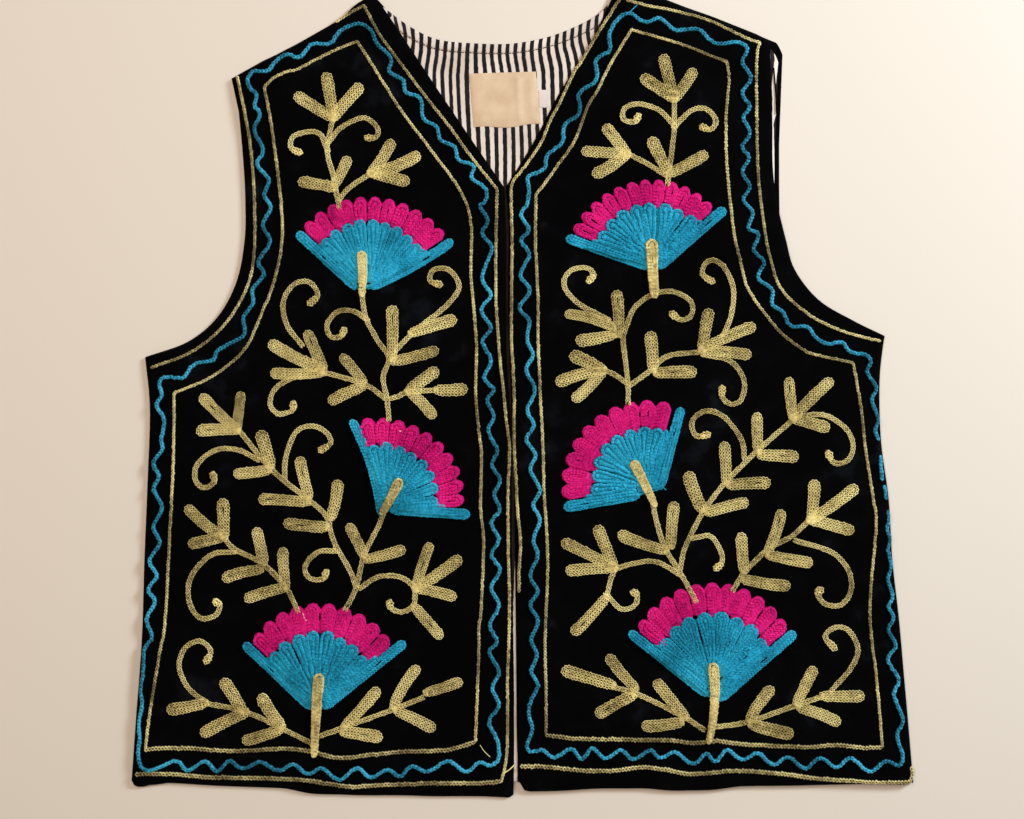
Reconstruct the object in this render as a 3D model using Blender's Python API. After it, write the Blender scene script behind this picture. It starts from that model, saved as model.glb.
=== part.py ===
"""An embroidered velvet waistcoat, laid flat with its fronts open edge to edge.

The back lies on the surface, its striped lining lies on it, and the two fronts lie on the lining. Each
panel is a thin wall drawn through a short table of sections. +Y runs to the neck, +X to the wearer's left,
and the origin is under the middle of the garment. The tables are in millimetres.
"""
from collections import namedtuple
import math

import bmesh
import bpy
from mathutils import Vector
from mathutils.bvhtree import BVHTree
from mathutils.geometry import delaunay_2d_cdt

MM = 0.001

# Cloth walls, in millimetres
SEAM_GAP = 0.3
VELVET = 2.2
BACK_VELVET = 1.4
LINING = 1.0
EDGE_PART = 0.42  # share of the wall that is left at a turned edge
TURN = 1.5
ROUND = 4.5  # how far in from its edge a front has its full height
SEAM_FALL = BACK_VELVET + SEAM_GAP
LINING_TOP = SEAM_FALL + LINING
FRONT_REST = LINING_TOP + SEAM_GAP

# How the fronts billow over the lining
BILLOW = 1.3
BILLOW_ACROSS = 170.0
BILLOW_ALONG = 221.0
BILLOW_SLANT = 0.45
BILLOW_FADE = 40.0
HEM_FADE = 60.0
NECK_FADE = 45.0  # by the neck a shoulder seam stays up on the lining

# Mesh steps
ROW_STEP = 24.0
YOKE_STEP = 17.0
TURN_CLEAR = 1.6  # the first full step starts this many turned ends in
FRONT_COLUMNS = 12
BACK_SPLIT = (4, 8, 4)
LINING_SPLIT = (3, 8, 3)
SHARP_ANGLE = 40.0

# Embroidered flowers
STITCH_LIFT = 0.45
STITCH_EDGE = 0.7
STITCH_MIDDLE = 1.2
FAN_LOBE = 3.2
CROWN_LOBE = 5.0
LOBE_ROUNDNESS = 0.6
LOBE_MIDDLE = 0.35
LOBE_STEPS = 4
TIP_STEPS = 4
TIP_REACH = 0.3  # a wing's tip is rounded about a point this share of its half width inside
SOLE_DROP = 2.6
SOLE_INSET = 0.22
PIECE_GAP = 0.7
CROWN_GAP = 1.3
FLOWER_GRID = 15.0
GRID_CLEAR = 6.0
WELD = 1e-4

Cloth = namedtuple("Cloth", "slot colour roughness")
Section = namedtuple("Section", "centre_x centre_y side_x side_y corner")
Dip = namedtuple("Dip", "part drop")
BackRow = namedtuple("BackRow", "left_x left_y right_x right_y lining_left lining_right corner")
Point = namedtuple("Point", "x y")
Radii = namedtuple("Radii", "right middle left")
Wing = namedtuple("Wing", "tip foot half")
Flower = namedtuple("Flower", "name front centre fan crown right left fan_lobes crown_lobes")

CLOTHS = (
    Cloth("velvet", (0.006, 0.006, 0.008), 0.95),
    Cloth("striped_cotton", (0.72, 0.65, 0.60), 0.85),
    Cloth("label_tape", (0.72, 0.55, 0.38), 0.7),
    Cloth("tab_tape", (0.78, 0.74, 0.72), 0.7),
    Cloth("pink_thread", (0.60, 0.012, 0.14), 0.6),
    Cloth("blue_thread", (0.017, 0.30, 0.44), 0.6),
)

# The wearer's right front, hem to shoulder: centre edge and side edge of each section
RIGHT_FRONT = (
    Section(-7.0, -300.0, -286.0, -286.5, ""),
    Section(-6.5, -258.0, -283.5, -245.0, ""),
    Section(-7.0, -199.0, -280.0, -184.5, ""),
    Section(-8.0, -140.0, -278.0, -126.0, ""),
    Section(-9.5, -82.0, -275.0, -67.0, ""),
    Section(-11.0, -30.0, -274.0, -15.0, ""),
    Section(-12.5, 10.0, -276.5, 23.5, "side"),
    Section(-13.0, 32.0, -248.5, 35.0, ""),
    Section(-14.0, 65.0, -225.0, 53.0, ""),
    Section(-14.5, 91.0, -211.0, 79.0, ""),
    Section(-14.5, 117.0, -205.0, 110.0, ""),
    Section(-14.5, 148.5, -204.5, 139.0, "centre"),
    Section(-39.0, 185.0, -206.0, 168.0, ""),
    Section(-63.0, 220.5, -209.0, 201.0, ""),
    Section(-87.0, 255.0, -211.0, 218.0, ""),
    Section(-108.0, 287.5, -212.5, 229.5, ""),
)

# The wearer's left front, hem to shoulder
LEFT_FRONT = (
    Section(-1.5, -294.5, 286.0, -286.5, ""),
    Section(-4.0, -258.0, 284.0, -258.0, ""),
    Section(-4.5, -214.0, 279.5, -214.0, ""),
    Section(-5.0, -170.0, 275.0, -170.0, ""),
    Section(-6.0, -126.0, 270.5, -126.0, ""),
    Section(-7.5, -81.5, 267.0, -81.5, ""),
    Section(-9.5, -37.5, 261.5, -37.5, ""),
    Section(-11.0, 3.0, 261.5, 6.5, ""),
    Section(-12.0, 32.0, 264.0, 37.0, "side"),
    Section(-12.5, 58.0, 242.5, 50.5, ""),
    Section(-12.5, 76.5, 217.5, 65.5, ""),
    Section(-13.0, 95.0, 200.0, 87.5, ""),
    Section(-13.0, 120.5, 192.0, 109.5, ""),
    Section(-13.0, 148.5, 186.5, 139.0, "centre"),
    Section(7.5, 181.0, 184.0, 164.5, ""),
    Section(27.0, 218.0, 182.0, 194.0, ""),
    Section(49.0, 253.5, 181.5, 223.5, ""),
    Section(71.0, 299.5, 180.0, 255.5, ""),
)

# How far each hem and shoulder dips under its straight section, by share of the way out from the centre
RIGHT_HEM = (Dip(0.0, -4.0), Dip(0.025, -0.5), Dip(0.25, 2.0), Dip(0.45, 5.0), Dip(0.57, 2.2),
             Dip(0.78, 2.0), Dip(0.97, 1.5), Dip(1.0, 0.0))
LEFT_HEM = (Dip(0.0, -4.0), Dip(0.025, 0.2), Dip(0.35, 0.5), Dip(0.48, 3.2), Dip(0.57, 0.8),
            Dip(0.85, 2.4), Dip(0.93, 0.3), Dip(1.0, 0.0))
RIGHT_SHOULDER = (Dip(0.0, 0.0), Dip(0.2, 2.4), Dip(0.4, 1.6), Dip(0.68, 3.8), Dip(0.82, 0.5), Dip(1.0, 0.0))
LEFT_SHOULDER = (Dip(0.0, 0.0), Dip(1.0, 0.0))
BACK_HEM = (Dip(0.0, 0.0), Dip(0.25, 4.0), Dip(0.5, 7.0), Dip(0.75, 4.0), Dip(1.0, 0.0))

# The back, hem to yoke: both edges, and how far inside them the lining stops
BACK = (
    BackRow(-284.0, -282.5, 284.0, -282.5, 5.0, 5.0, ""),
    BackRow(-282.0, -245.0, 281.0, -245.0, 5.0, 5.0, ""),
    BackRow(-279.0, -199.0, 276.5, -199.0, 5.0, 5.0, ""),
    BackRow(-276.5, -140.0, 270.0, -140.0, 5.0, 5.0, ""),
    BackRow(-273.5, -81.5, 265.0, -81.5, 5.0, 5.0, ""),
    BackRow(-272.5, -30.0, 259.5, -30.0, 5.0, 5.0, ""),
    BackRow(-273.5, 5.0, 260.0, 8.0, 5.0, 5.0, ""),
    BackRow(-274.5, 21.0, 262.0, 35.0, 5.0, 5.0, "side"),
    BackRow(-245.5, 32.0, 240.0, 48.5, 5.0, 5.0, ""),
    BackRow(-222.0, 50.0, 215.0, 63.5, 5.0, 4.5, ""),
    BackRow(-207.5, 76.5, 198.0, 86.0, 5.0, 4.0, ""),
    BackRow(-201.5, 109.0, 190.5, 109.5, 5.0, 2.5, ""),
    BackRow(-200.5, 139.0, 188.5, 139.0, 5.0, 1.5, ""),
    BackRow(-202.5, 172.0, 188.5, 180.0, 5.0, 1.2, ""),
)

# Shoulder ends of the back, and its neck edge between them
BACK_SHOULDER_LEFT = Point(-209.0, 226.5)
BACK_SHOULDER_RIGHT = Point(189.5, 249.0)
BACK_NECK = (
    Point(-106.0, 285.5),
    Point(-90.0, 270.5),
    Point(-65.0, 258.0),
    Point(-35.0, 254.5),
    Point(-7.0, 254.5),
    Point(21.0, 260.0),
    Point(48.0, 271.5),
    Point(62.0, 282.5),
    Point(70.0, 297.0),
)
NECK_SHARE = (0.248, 0.698)
NECK_ROLL = 0.6  # the lining rolls this far over the velvet's neck edge
SHOULDER_INSET = 6.0
NECK_PULL = 0.3  # share of the shoulder inset that is left at the neck
SHOULDER_EASE = 25.0
NECK_EASE = 17.0
HEM_INSET = 0.4

# Each flower: the middle of its fan, radii of fan and crown, a wing to each side, and its lobes
FLOWERS = (
    Flower("right_top", "right", Point(-113.0, 75.0), Radii(47.0, 47.0, 46.5), Radii(65.5, 63.0, 62.5),
           Wing(Point(-53.5, 107.5), Point(-106.0, 77.5), 3.7),
           Wing(Point(-164.0, 113.0), Point(-126.0, 77.5), 3.7), 9, 11),
    Flower("right_middle", "right", Point(-101.5, -84.0), Radii(37.0, 41.5, 44.0), Radii(54.5, 58.0, 61.5),
           Wing(Point(-41.5, -92.0), Point(-92.0, -89.0), 4.0),
           Wing(Point(-125.0, -24.5), Point(-106.0, -86.0), 4.4), 8, 10),
    Flower("right_low", "right", Point(-150.5, -226.5), Radii(44.0, 47.0, 45.5), Radii(65.0, 66.5, 61.0),
           Wing(Point(-88.5, -187.0), Point(-141.0, -229.5), 4.0),
           Wing(Point(-203.0, -188.0), Point(-159.5, -229.5), 3.7), 8, 10),
    Flower("left_top", "left", Point(95.0, 93.5), Radii(42.0, 41.5, 42.5), Radii(57.0, 57.0, 60.5),
           Wing(Point(146.0, 130.5), Point(103.5, 93.0), 4.0),
           Wing(Point(33.5, 110.0), Point(87.0, 91.0), 3.7), 8, 12),
    Flower("left_middle", "left", Point(89.5, -70.0), Radii(41.0, 40.0, 38.0), Radii(59.5, 58.0, 58.5),
           Wing(Point(115.0, -17.0), Point(101.0, -68.0), 5.5),
           Wing(Point(32.5, -86.5), Point(80.0, -78.5), 4.2), 8, 10),
    Flower("left_low", "left", Point(139.0, -214.0), Radii(46.0, 49.5, 45.0), Radii(65.0, 69.0, 65.0),
           Wing(Point(197.5, -180.0), Point(148.5, -223.5), 4.2),
           Wing(Point(79.5, -179.5), Point(129.5, -220.0), 3.7), 8, 11),
)

# The label and tab on the lining: corners counter-clockwise from low left
LABEL_CORNERS = (Point(-36.0, 192.0), Point(13.0, 194.5), Point(9.5, 233.5), Point(-39.5, 232.0))
TAB_CORNERS = (Point(13.0, 207.0), Point(20.0, 207.5), Point(20.0, 220.0), Point(12.0, 220.0))
TAPE_THICK = 1.0
TAPE_EDGE = 0.7  # share of its thickness at a tape's edge
LABEL_GRID = (6, 4)
TAB_GRID = (2, 2)


def clear_scene():
    for item in list(bpy.data.objects):
        bpy.data.objects.remove(item, do_unlink=True)


def cloth_material(cloth):
    material = bpy.data.materials.new(cloth.slot)
    material.use_nodes = True
    shader = material.node_tree.nodes["Principled BSDF"]
    shader.inputs["Base Color"].default_value = (*cloth.colour, 1.0)
    shader.inputs["Roughness"].default_value = cloth.roughness
    shader.inputs["Metallic"].default_value = 0.0
    return material


def add_object(name, verts, faces, material):
    """One closed solid from points in millimetres, with its faces turned out."""
    mesh = bpy.data.meshes.new(name)
    mesh.from_pydata([Vector(v) * MM for v in verts], [], faces)
    work = bmesh.new()
    work.from_mesh(mesh)
    bmesh.ops.recalc_face_normals(work, faces=work.faces)
    work.to_mesh(mesh)
    work.free()
    mesh.shade_smooth()
    mesh.set_sharp_from_angle(angle=math.radians(SHARP_ANGLE))
    mesh.materials.append(material)
    thing = bpy.data.objects.new(name, mesh)
    bpy.context.scene.collection.objects.link(thing)
    return thing


def ease(t):
    """0 to 1 with level ends."""
    t = min(1.0, max(0.0, t))
    return t * t * (3.0 - 2.0 * t)


def dip_at(table, part):
    """The drop at a share of the way along, eased between the rows of the table."""
    for low, high in zip(table, table[1:]):
        if part <= high.part:
            return low.drop + (high.drop - low.drop) * ease((part - low.part) / (high.part - low.part))
    return table[-1].drop


def hermite(points, corners, index, t):
    """A point on the smooth line through points, which has a break at each index in corners."""
    a, b = points[index], points[index + 1]
    before = points[index - 1] if index > 0 and index not in corners else a
    after = points[index + 2] if index + 2 < len(points) and index + 1 not in corners else b
    lead = 0.5 if before is not a else 1.0
    tail = 0.5 if after is not b else 1.0
    tangent_a = (b - before) * lead
    tangent_b = (after - a) * tail
    t2, t3 = t * t, t * t * t
    return (a * (2 * t3 - 3 * t2 + 1) + tangent_a * (t3 - 2 * t2 + t)
            + b * (3 * t2 - 2 * t3) + tangent_b * (t3 - t2))


def row_places(lines, step, turns):
    """Where the rows of a panel lie, as (interval, share): evenly spaced, with the turned ends added."""
    places = []
    count = len(lines[0]) - 1
    for index in range(count):
        span = max((line[index + 1] - line[index]).length for line in lines)
        steps = max(1, round(span / step))
        near = [d / span for d in turns]
        clear = near[-1] * TURN_CLEAR
        shares = [k / steps for k in range(steps)]
        if index == 0:
            shares = [0.0, *near] + [s for s in shares if s > clear]
        if index == count - 1:
            shares = [s for s in shares if s < 1.0 - clear] + [1.0 - n for n in reversed(near)] + [1.0]
        places += [(index, share) for share in shares]
    return places


def column_shares(width, splits, stops):
    """Shares across a row: the turned edges, then even steps between the stops."""
    turn, full = TURN / width, ROUND / width
    marks = [full, *stops, 1.0 - full]
    shares = [0.0, turn]
    for low, high, steps in zip(marks, marks[1:], splits):
        shares += [low + (high - low) * k / steps for k in range(steps)]
    return shares + [1.0 - full, 1.0 - turn, 1.0]


def wall(name, low, high, material):
    """A closed wall between two grids of points with the same rows and columns."""
    rows, columns = len(low), len(low[0])
    verts = [p for row in low for p in row] + [p for row in high for p in row]
    top = rows * columns

    def at(r, c):
        return r * columns + c

    faces = []
    for r in range(rows - 1):
        for c in range(columns - 1):
            quad = (at(r, c), at(r, c + 1), at(r + 1, c + 1), at(r + 1, c))
            faces.append(quad[::-1])
            faces.append(tuple(top + k for k in quad))
    rim = [at(0, c) for c in range(columns)] + [at(r, columns - 1) for r in range(1, rows)]
    rim += [at(rows - 1, c) for c in reversed(range(columns - 1))]
    rim += [at(r, 0) for r in reversed(range(1, rows - 1))]
    for a, b in zip(rim, rim[1:] + rim[:1]):
        faces.append((a, b, top + b, top + a))
    return add_object(name, verts, faces, material)


def edge_height(depth):
    """Share of the wall's thickness at a distance inside its edge."""
    return EDGE_PART + (1.0 - EDGE_PART) * math.sin(0.5 * math.pi * min(1.0, depth / ROUND))


def front_panel(name, table, hem, shoulder, free_edges_fall, material):
    """One front: sections from hem to shoulder, resting on the lining and falling to the back at its seams.

    Its hem and armhole fall too where they reach past the lining.
    """
    centre = [Vector((s.centre_x, s.centre_y)) for s in table]
    side = [Vector((s.side_x, s.side_y)) for s in table]
    centre_corners = {k for k, s in enumerate(table) if s.corner == "centre"}
    side_corners = {k for k, s in enumerate(table) if s.corner == "side"}
    underarm = min(side_corners)
    places = row_places((centre, side), ROW_STEP, (TURN, ROUND))
    edges = [(hermite(centre, centre_corners, *p), hermite(side, side_corners, *p)) for p in places]
    up = [0.0]
    for (a0, b0), (a1, b1) in zip(edges, edges[1:]):
        up.append(up[-1] + 0.5 * ((a1 - a0).length + (b1 - b0).length))
    low, high = [], []
    for (index, share), (inner, outer), height in zip(places, edges, up):
        width = (outer - inner).length
        low_row, high_row = [], []
        for part in column_shares(width, (FRONT_COLUMNS,), ()):
            point = inner.lerp(outer, part)
            point.y -= dip_at(hem, part) * ease(1.0 - height / HEM_FADE)
            point.y -= dip_at(shoulder, part) * ease(1.0 - (up[-1] - height) / HEM_FADE)
            to_hem, to_shoulder = height, up[-1] - height
            to_centre, to_side = part * width, (1.0 - part) * width
            seams = [to_shoulder + ROUND * ease(1.0 - to_centre / NECK_FADE)]
            if index < underarm or free_edges_fall:
                seams.append(to_side)
            if free_edges_fall:
                seams.append(to_hem)
            rest = SEAM_FALL + (FRONT_REST - SEAM_FALL) * ease(min(seams) / ROUND)
            inside = min(to_hem, to_shoulder, to_centre, to_side)
            run = (point.x + BILLOW_SLANT * point.y) / BILLOW_ACROSS
            climb = (point.y - BILLOW_SLANT * point.x) / BILLOW_ALONG
            swell = (2.0 + math.sin(math.tau * run) + math.sin(math.tau * climb)) / 4.0
            base = rest + BILLOW * swell * ease((inside - ROUND) / BILLOW_FADE)
            low_row.append((point.x, point.y, base))
            high_row.append((point.x, point.y, base + VELVET * edge_height(inside)))
        low.append(low_row)
        high.append(high_row)
    return wall(name, low, high, material)


def top_edge(part, roll, inset):
    """A point of the back's top edge at a share of the way across: shoulder, neck, shoulder."""
    first, last = NECK_SHARE
    neck = [Vector(n) for n in BACK_NECK]
    if first < part < last:
        place = (part - first) / (last - first) * (len(neck) - 1)
        index = min(int(place), len(neck) - 2)
        point = hermite(neck, set(), index, place - index)
        to_end = min((point - neck[0]).length, (point - neck[-1]).length)
        point.y -= roll + NECK_PULL * inset * ease(1.0 - to_end / NECK_EASE)
        return point
    if part <= first:
        neck_point, shoulder, share = neck[0], Vector(BACK_SHOULDER_LEFT), 1.0 - part / first
    else:
        neck_point, shoulder, share = neck[-1], Vector(BACK_SHOULDER_RIGHT), (part - last) / (1.0 - last)
    point = neck_point.lerp(shoulder, share)
    point.y -= inset * (NECK_PULL + (1.0 - NECK_PULL) * ease((point - neck_point).length / SHOULDER_EASE))
    return point


def back_grid(split, inset_left, inset_right, hem_inset, roll, shoulder_inset):
    """Rows of points of the back, or of its lining where it is inset, with each point's depth inside."""
    left = [Vector((row.left_x + inset_left(row), row.left_y)) for row in BACK]
    right = [Vector((row.right_x - inset_right(row), row.right_y)) for row in BACK]
    corners = {k for k, row in enumerate(BACK) if row.corner}
    last_span = len(BACK) - 2
    places = [p for p in row_places((left, right), ROW_STEP, (TURN, ROUND)) if sum(p) <= last_span]
    places.append((last_span, 1.0))
    rows = []
    up = 0.0
    before = left[0]
    for place in places:
        a, b = hermite(left, corners, *place), hermite(right, corners, *place)
        up += (a - before).length
        before = a
        width = (b - a).length
        row = []
        for part in column_shares(width, split, NECK_SHARE):
            point = a.lerp(b, part)
            point.y += hem_inset * ease(1.0 - up / HEM_FADE)
            point.y -= dip_at(BACK_HEM, part) * ease(1.0 - up / HEM_FADE)
            row.append((point, min(up, part * width, (1.0 - part) * width)))
        rows.append(row)
    last_row = rows[-1]
    width = (last_row[-1][0] - last_row[0][0]).length
    shares = column_shares(width, split, NECK_SHARE)
    tops = [top_edge(part, roll, shoulder_inset) for part in shares]
    height = (tops[0] - last_row[0][0]).length
    steps = max(2, round(height / YOKE_STEP))
    marks = [k / steps for k in range(1, steps)] + [1.0 - ROUND / height, 1.0 - TURN / height, 1.0]
    for mark in marks:
        row = []
        for (point, _), top, part in zip(last_row, tops, shares):
            place = point.lerp(top, mark)
            across = min(part, 1.0 - part) * width
            row.append((place, min(across, (1.0 - mark) * (top - point).length)))
        rows.append(row)
    return rows


def back_panel(material):
    rows = back_grid(BACK_SPLIT, lambda row: 0.0, lambda row: 0.0, 0.0, NECK_ROLL, 0.0)
    low = [[(p.x, p.y, 0.0) for p, _ in row] for row in rows]
    high = [[(p.x, p.y, BACK_VELVET * edge_height(depth)) for p, depth in row] for row in rows]
    return wall("back_panel", low, high, material)


def back_lining(material):
    rows = back_grid(LINING_SPLIT, lambda row: row.lining_left, lambda row: row.lining_right,
                     HEM_INSET, 0.0, SHOULDER_INSET)
    low = [[(p.x, p.y, SEAM_FALL) for p, _ in row] for row in rows]
    high = [[(p.x, p.y, SEAM_FALL + LINING * edge_height(depth)) for p, depth in row] for row in rows]
    return wall("back_lining", low, high, material)


def tape(name, corners, grid, material):
    """A small piece of tape lying on the lining, slightly puffed in its middle."""
    a, b, c, d = (Vector(p) for p in corners)
    columns, rows = grid
    low, high = [], []
    for r in range(rows + 1):
        low_row, high_row = [], []
        for k in range(columns + 1):
            across, along = k / columns, r / rows
            point = a.lerp(b, across).lerp(d.lerp(c, across), along)
            puff = math.sin(math.pi * across) * math.sin(math.pi * along)
            thick = TAPE_THICK * (TAPE_EDGE + (1.0 - TAPE_EDGE) * puff)
            low_row.append((point.x, point.y, FRONT_REST))
            high_row.append((point.x, point.y, FRONT_REST + thick))
        low.append(low_row)
        high.append(high_row)
    return wall(name, low, high, material)


def radius_at(radii, share):
    """The radius at a share of the way from the right end of an arc to its left end."""
    end = radii.right if share < 0.5 else radii.left
    return radii.middle + (end - radii.middle) * (2.0 * share - 1.0) ** 2


def wing_angle(centre, wing, offset, radius):
    """Angle about the centre where a line beside the wing crosses a circle of this radius."""
    foot = Vector(wing.foot)
    along = (Vector(wing.tip) - foot).normalized()
    start = foot + Vector((-along.y, along.x)) * offset - centre
    ahead = start.dot(along)
    reach = math.sqrt(max(0.0, ahead ** 2 - start.length_squared + radius ** 2)) - ahead
    point = start + along * reach
    return math.atan2(point.y, point.x)


def lobes(flower, radii, gap, depth, count):
    """Rounded scallops from the right wing to the left one, this far clear of both."""
    centre = Vector(flower.centre)
    start = wing_angle(centre, flower.right, flower.right.half + gap, radii.right)
    end = wing_angle(centre, flower.left, -flower.left.half - gap, radii.left)
    if end < start:
        end += math.tau
    points = []
    for k in range(count * LOBE_STEPS + 1):
        share = k / (count * LOBE_STEPS)
        bulge = abs(math.sin(math.pi * share * count)) ** LOBE_ROUNDNESS
        angle = start + (end - start) * share
        reach = radius_at(radii, share) + depth * (bulge - LOBE_MIDDLE)
        points.append(centre + Vector((math.cos(angle), math.sin(angle))) * reach)
    return points


def tip_arc(wing):
    """The rounded end of a wing, counter-clockwise round its tip."""
    along = (Vector(wing.tip) - Vector(wing.foot)).normalized()
    middle = math.atan2(along.y, along.x)
    centre = Vector(wing.tip) - along * wing.half * TIP_REACH
    angles = [middle - math.pi / 2 + math.pi * k / TIP_STEPS for k in range(TIP_STEPS + 1)]
    return [centre + Vector((math.cos(a), math.sin(a))) * wing.half for a in angles]


def flower_outlines(flower):
    """Outlines of the blue fan with its two wings and of the pink crown above it."""
    right_foot, left_foot = Vector(flower.right.foot), Vector(flower.left.foot)
    across = right_foot - left_foot
    down = Vector((across.y, -across.x)).normalized() * SOLE_DROP
    fan = [right_foot, *tip_arc(flower.right)]
    fan += lobes(flower, flower.fan, 0.0, FAN_LOBE, flower.fan_lobes)
    fan += [*tip_arc(flower.left), left_foot]
    fan += [left_foot + across * SOLE_INSET + down, right_foot - across * SOLE_INSET + down]
    inner = Radii(*(radius + CROWN_GAP for radius in flower.fan))
    crown = lobes(flower, flower.crown, PIECE_GAP, CROWN_LOBE, flower.crown_lobes)
    crown += lobes(flower, inner, PIECE_GAP, FAN_LOBE, flower.fan_lobes)[::-1]
    return fan, crown


def inside_points(outline, step):
    """Grid points well inside an outline."""
    xs = [p.x for p in outline]
    ys = [p.y for p in outline]
    found = []
    y = min(ys) + step / 2
    while y < max(ys):
        x = min(xs) + step / 2
        while x < max(xs):
            crossings = 0
            near = step
            for a, b in zip(outline, outline[1:] + outline[:1]):
                if (a.y > y) != (b.y > y) and x < a.x + (b.x - a.x) * (y - a.y) / (b.y - a.y):
                    crossings += 1
                near = min(near, (a - Vector((x, y))).length, ((a + b) / 2 - Vector((x, y))).length)
            if crossings % 2 and near > GRID_CLEAR:
                found.append(Vector((x, y)))
            x += step
        y += step
    return found


def stitched_plate(name, outline, ground, material):
    """A raised plate over a front, its points taken from the front's surface and moved out."""
    points = outline + inside_points(outline, FLOWER_GRID)
    rim = [(k, (k + 1) % len(outline)) for k in range(len(outline))]
    flat, _, triangles, *_ = delaunay_2d_cdt(points, rim, [], 1, WELD)
    edges = [pair for face in triangles for pair in zip(face, face[1:] + face[:1])]
    known = set(edges)
    border = [(a, b) for a, b in edges if (b, a) not in known]
    on_border = {a for a, _ in border}
    low, high = [], []
    for k, point in enumerate(flat):
        hit = ground.ray_cast(Vector((point.x * MM, point.y * MM, 1.0)), Vector((0, 0, -1)))[0]
        base = hit.z / MM + STITCH_LIFT
        low.append((point.x, point.y, base))
        high.append((point.x, point.y, base + (STITCH_EDGE if k in on_border else STITCH_MIDDLE)))
    count = len(flat)
    faces = [tuple(reversed(face)) for face in triangles]
    faces += [tuple(count + k for k in face) for face in triangles]
    faces += [(a, b, count + b, count + a) for a, b in border]
    return add_object(name, low + high, faces, material)


def build():
    clear_scene()
    cloth = {row.slot: cloth_material(row) for row in CLOTHS}
    velvet = cloth["velvet"]
    back_panel(velvet)
    back_lining(cloth["striped_cotton"])
    fronts = {
        "right": front_panel("front_panel_right", RIGHT_FRONT, RIGHT_HEM, RIGHT_SHOULDER, True, velvet),
        "left": front_panel("front_panel_left", LEFT_FRONT, LEFT_HEM, LEFT_SHOULDER, False, velvet),
    }
    tape("neck_label", LABEL_CORNERS, LABEL_GRID, cloth["label_tape"])
    tape("size_tab", TAB_CORNERS, TAB_GRID, cloth["tab_tape"])
    bpy.context.view_layer.update()
    graph = bpy.context.evaluated_depsgraph_get()
    grounds = {side: BVHTree.FromObject(panel, graph) for side, panel in fronts.items()}
    for flower in FLOWERS:
        fan, crown = flower_outlines(flower)
        stitched_plate("flower_fan_" + flower.name, fan, grounds[flower.front], cloth["blue_thread"])
        stitched_plate("flower_crown_" + flower.name, crown, grounds[flower.front], cloth["pink_thread"])


build()
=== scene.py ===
"""The looks of an embroidered velvet waistcoat that is laid flat: cloth, tapes and chain stitches.

The panels follow the same short tables of sections as the part's source, in millimetres. The embroidery is
laid out by places read in the photograph's pixels, and its widths and pitches are in millimetres.
"""

from collections import namedtuple
import math

import bpy
import numpy as np
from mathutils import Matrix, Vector
from mathutils.bvhtree import BVHTree


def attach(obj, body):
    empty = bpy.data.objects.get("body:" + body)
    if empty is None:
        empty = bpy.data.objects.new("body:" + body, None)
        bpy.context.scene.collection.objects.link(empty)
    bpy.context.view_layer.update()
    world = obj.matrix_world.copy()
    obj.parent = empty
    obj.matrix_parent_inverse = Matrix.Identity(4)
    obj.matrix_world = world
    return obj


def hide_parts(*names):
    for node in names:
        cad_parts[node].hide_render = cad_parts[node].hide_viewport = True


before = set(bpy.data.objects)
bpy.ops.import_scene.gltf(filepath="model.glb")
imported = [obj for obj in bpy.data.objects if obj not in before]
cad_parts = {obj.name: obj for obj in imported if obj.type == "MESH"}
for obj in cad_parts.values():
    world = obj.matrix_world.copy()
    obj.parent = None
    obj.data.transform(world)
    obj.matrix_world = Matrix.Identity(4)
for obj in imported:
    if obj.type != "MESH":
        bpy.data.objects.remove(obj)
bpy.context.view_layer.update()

MM = 0.001

# The photograph: its middle is on the camera's axis, and this is its scale on top of the fronts
PHOTO_MIDDLE = (512.0, 409.5)
CAMERA_AXIS = (-8.1, -15.1)
CAMERA_HEIGHT = 1049.3
PIXEL = 0.7336
LENS = 50.0
SENSOR = 36.0

# Keeps a length that is divided by above zero
TINY = 1e-9

# Cloth walls, as in the solids
SEAM_GAP = 0.3
VELVET = 2.2
BACK_VELVET = 1.4
LINING = 1.0
EDGE_PART = 0.42
ROUND = 4.5
SEAM_FALL = BACK_VELVET + SEAM_GAP
LINING_TOP = SEAM_FALL + LINING
FRONT_REST = LINING_TOP + SEAM_GAP
BILLOW = 1.3
BILLOW_ACROSS = 170.0
BILLOW_ALONG = 221.0
BILLOW_SLANT = 0.45
BILLOW_FADE = 40.0
HEM_FADE = 60.0
NECK_FADE = 45.0

# How far inside the back the lining's sides lie, where a row doesn't say otherwise
LINING_INSET = 5.0

# Mesh steps. The last row of the back's sides is this share of its span up, and the top edge is joined to it.
EDGE_STEPS = (0.25, 0.7, 1.3, 2.2, 3.3, 4.5)
TURN_CLEAR = EDGE_STEPS[-1] * 1.4
LAST_ROW = 0.8
ROLL = 1.3
FRONT_STEP = 4.0
FRONT_COLUMNS = 62
BACK_STEP = 9.0
LINING_STEP = 4.0
BACK_SPLIT = (10, 20, 10)
LINING_SPLIT = (18, 48, 18)


def table_of(kind, *values):
    """A table: each of its rows holds the values of one namedtuple."""
    return [kind(*row) for row in values]


Section = namedtuple("Section", "centre_x centre_y side_x side_y corner", defaults=("",))
Dip = namedtuple("Dip", "part drop")
BackRow = namedtuple("BackRow", "left_x left_y right_x right_y lining_left lining_right corner",
                     defaults=(LINING_INSET, LINING_INSET, ""))
Crease = namedtuple("Crease", "x0 y0 x1 y1 width height")

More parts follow.
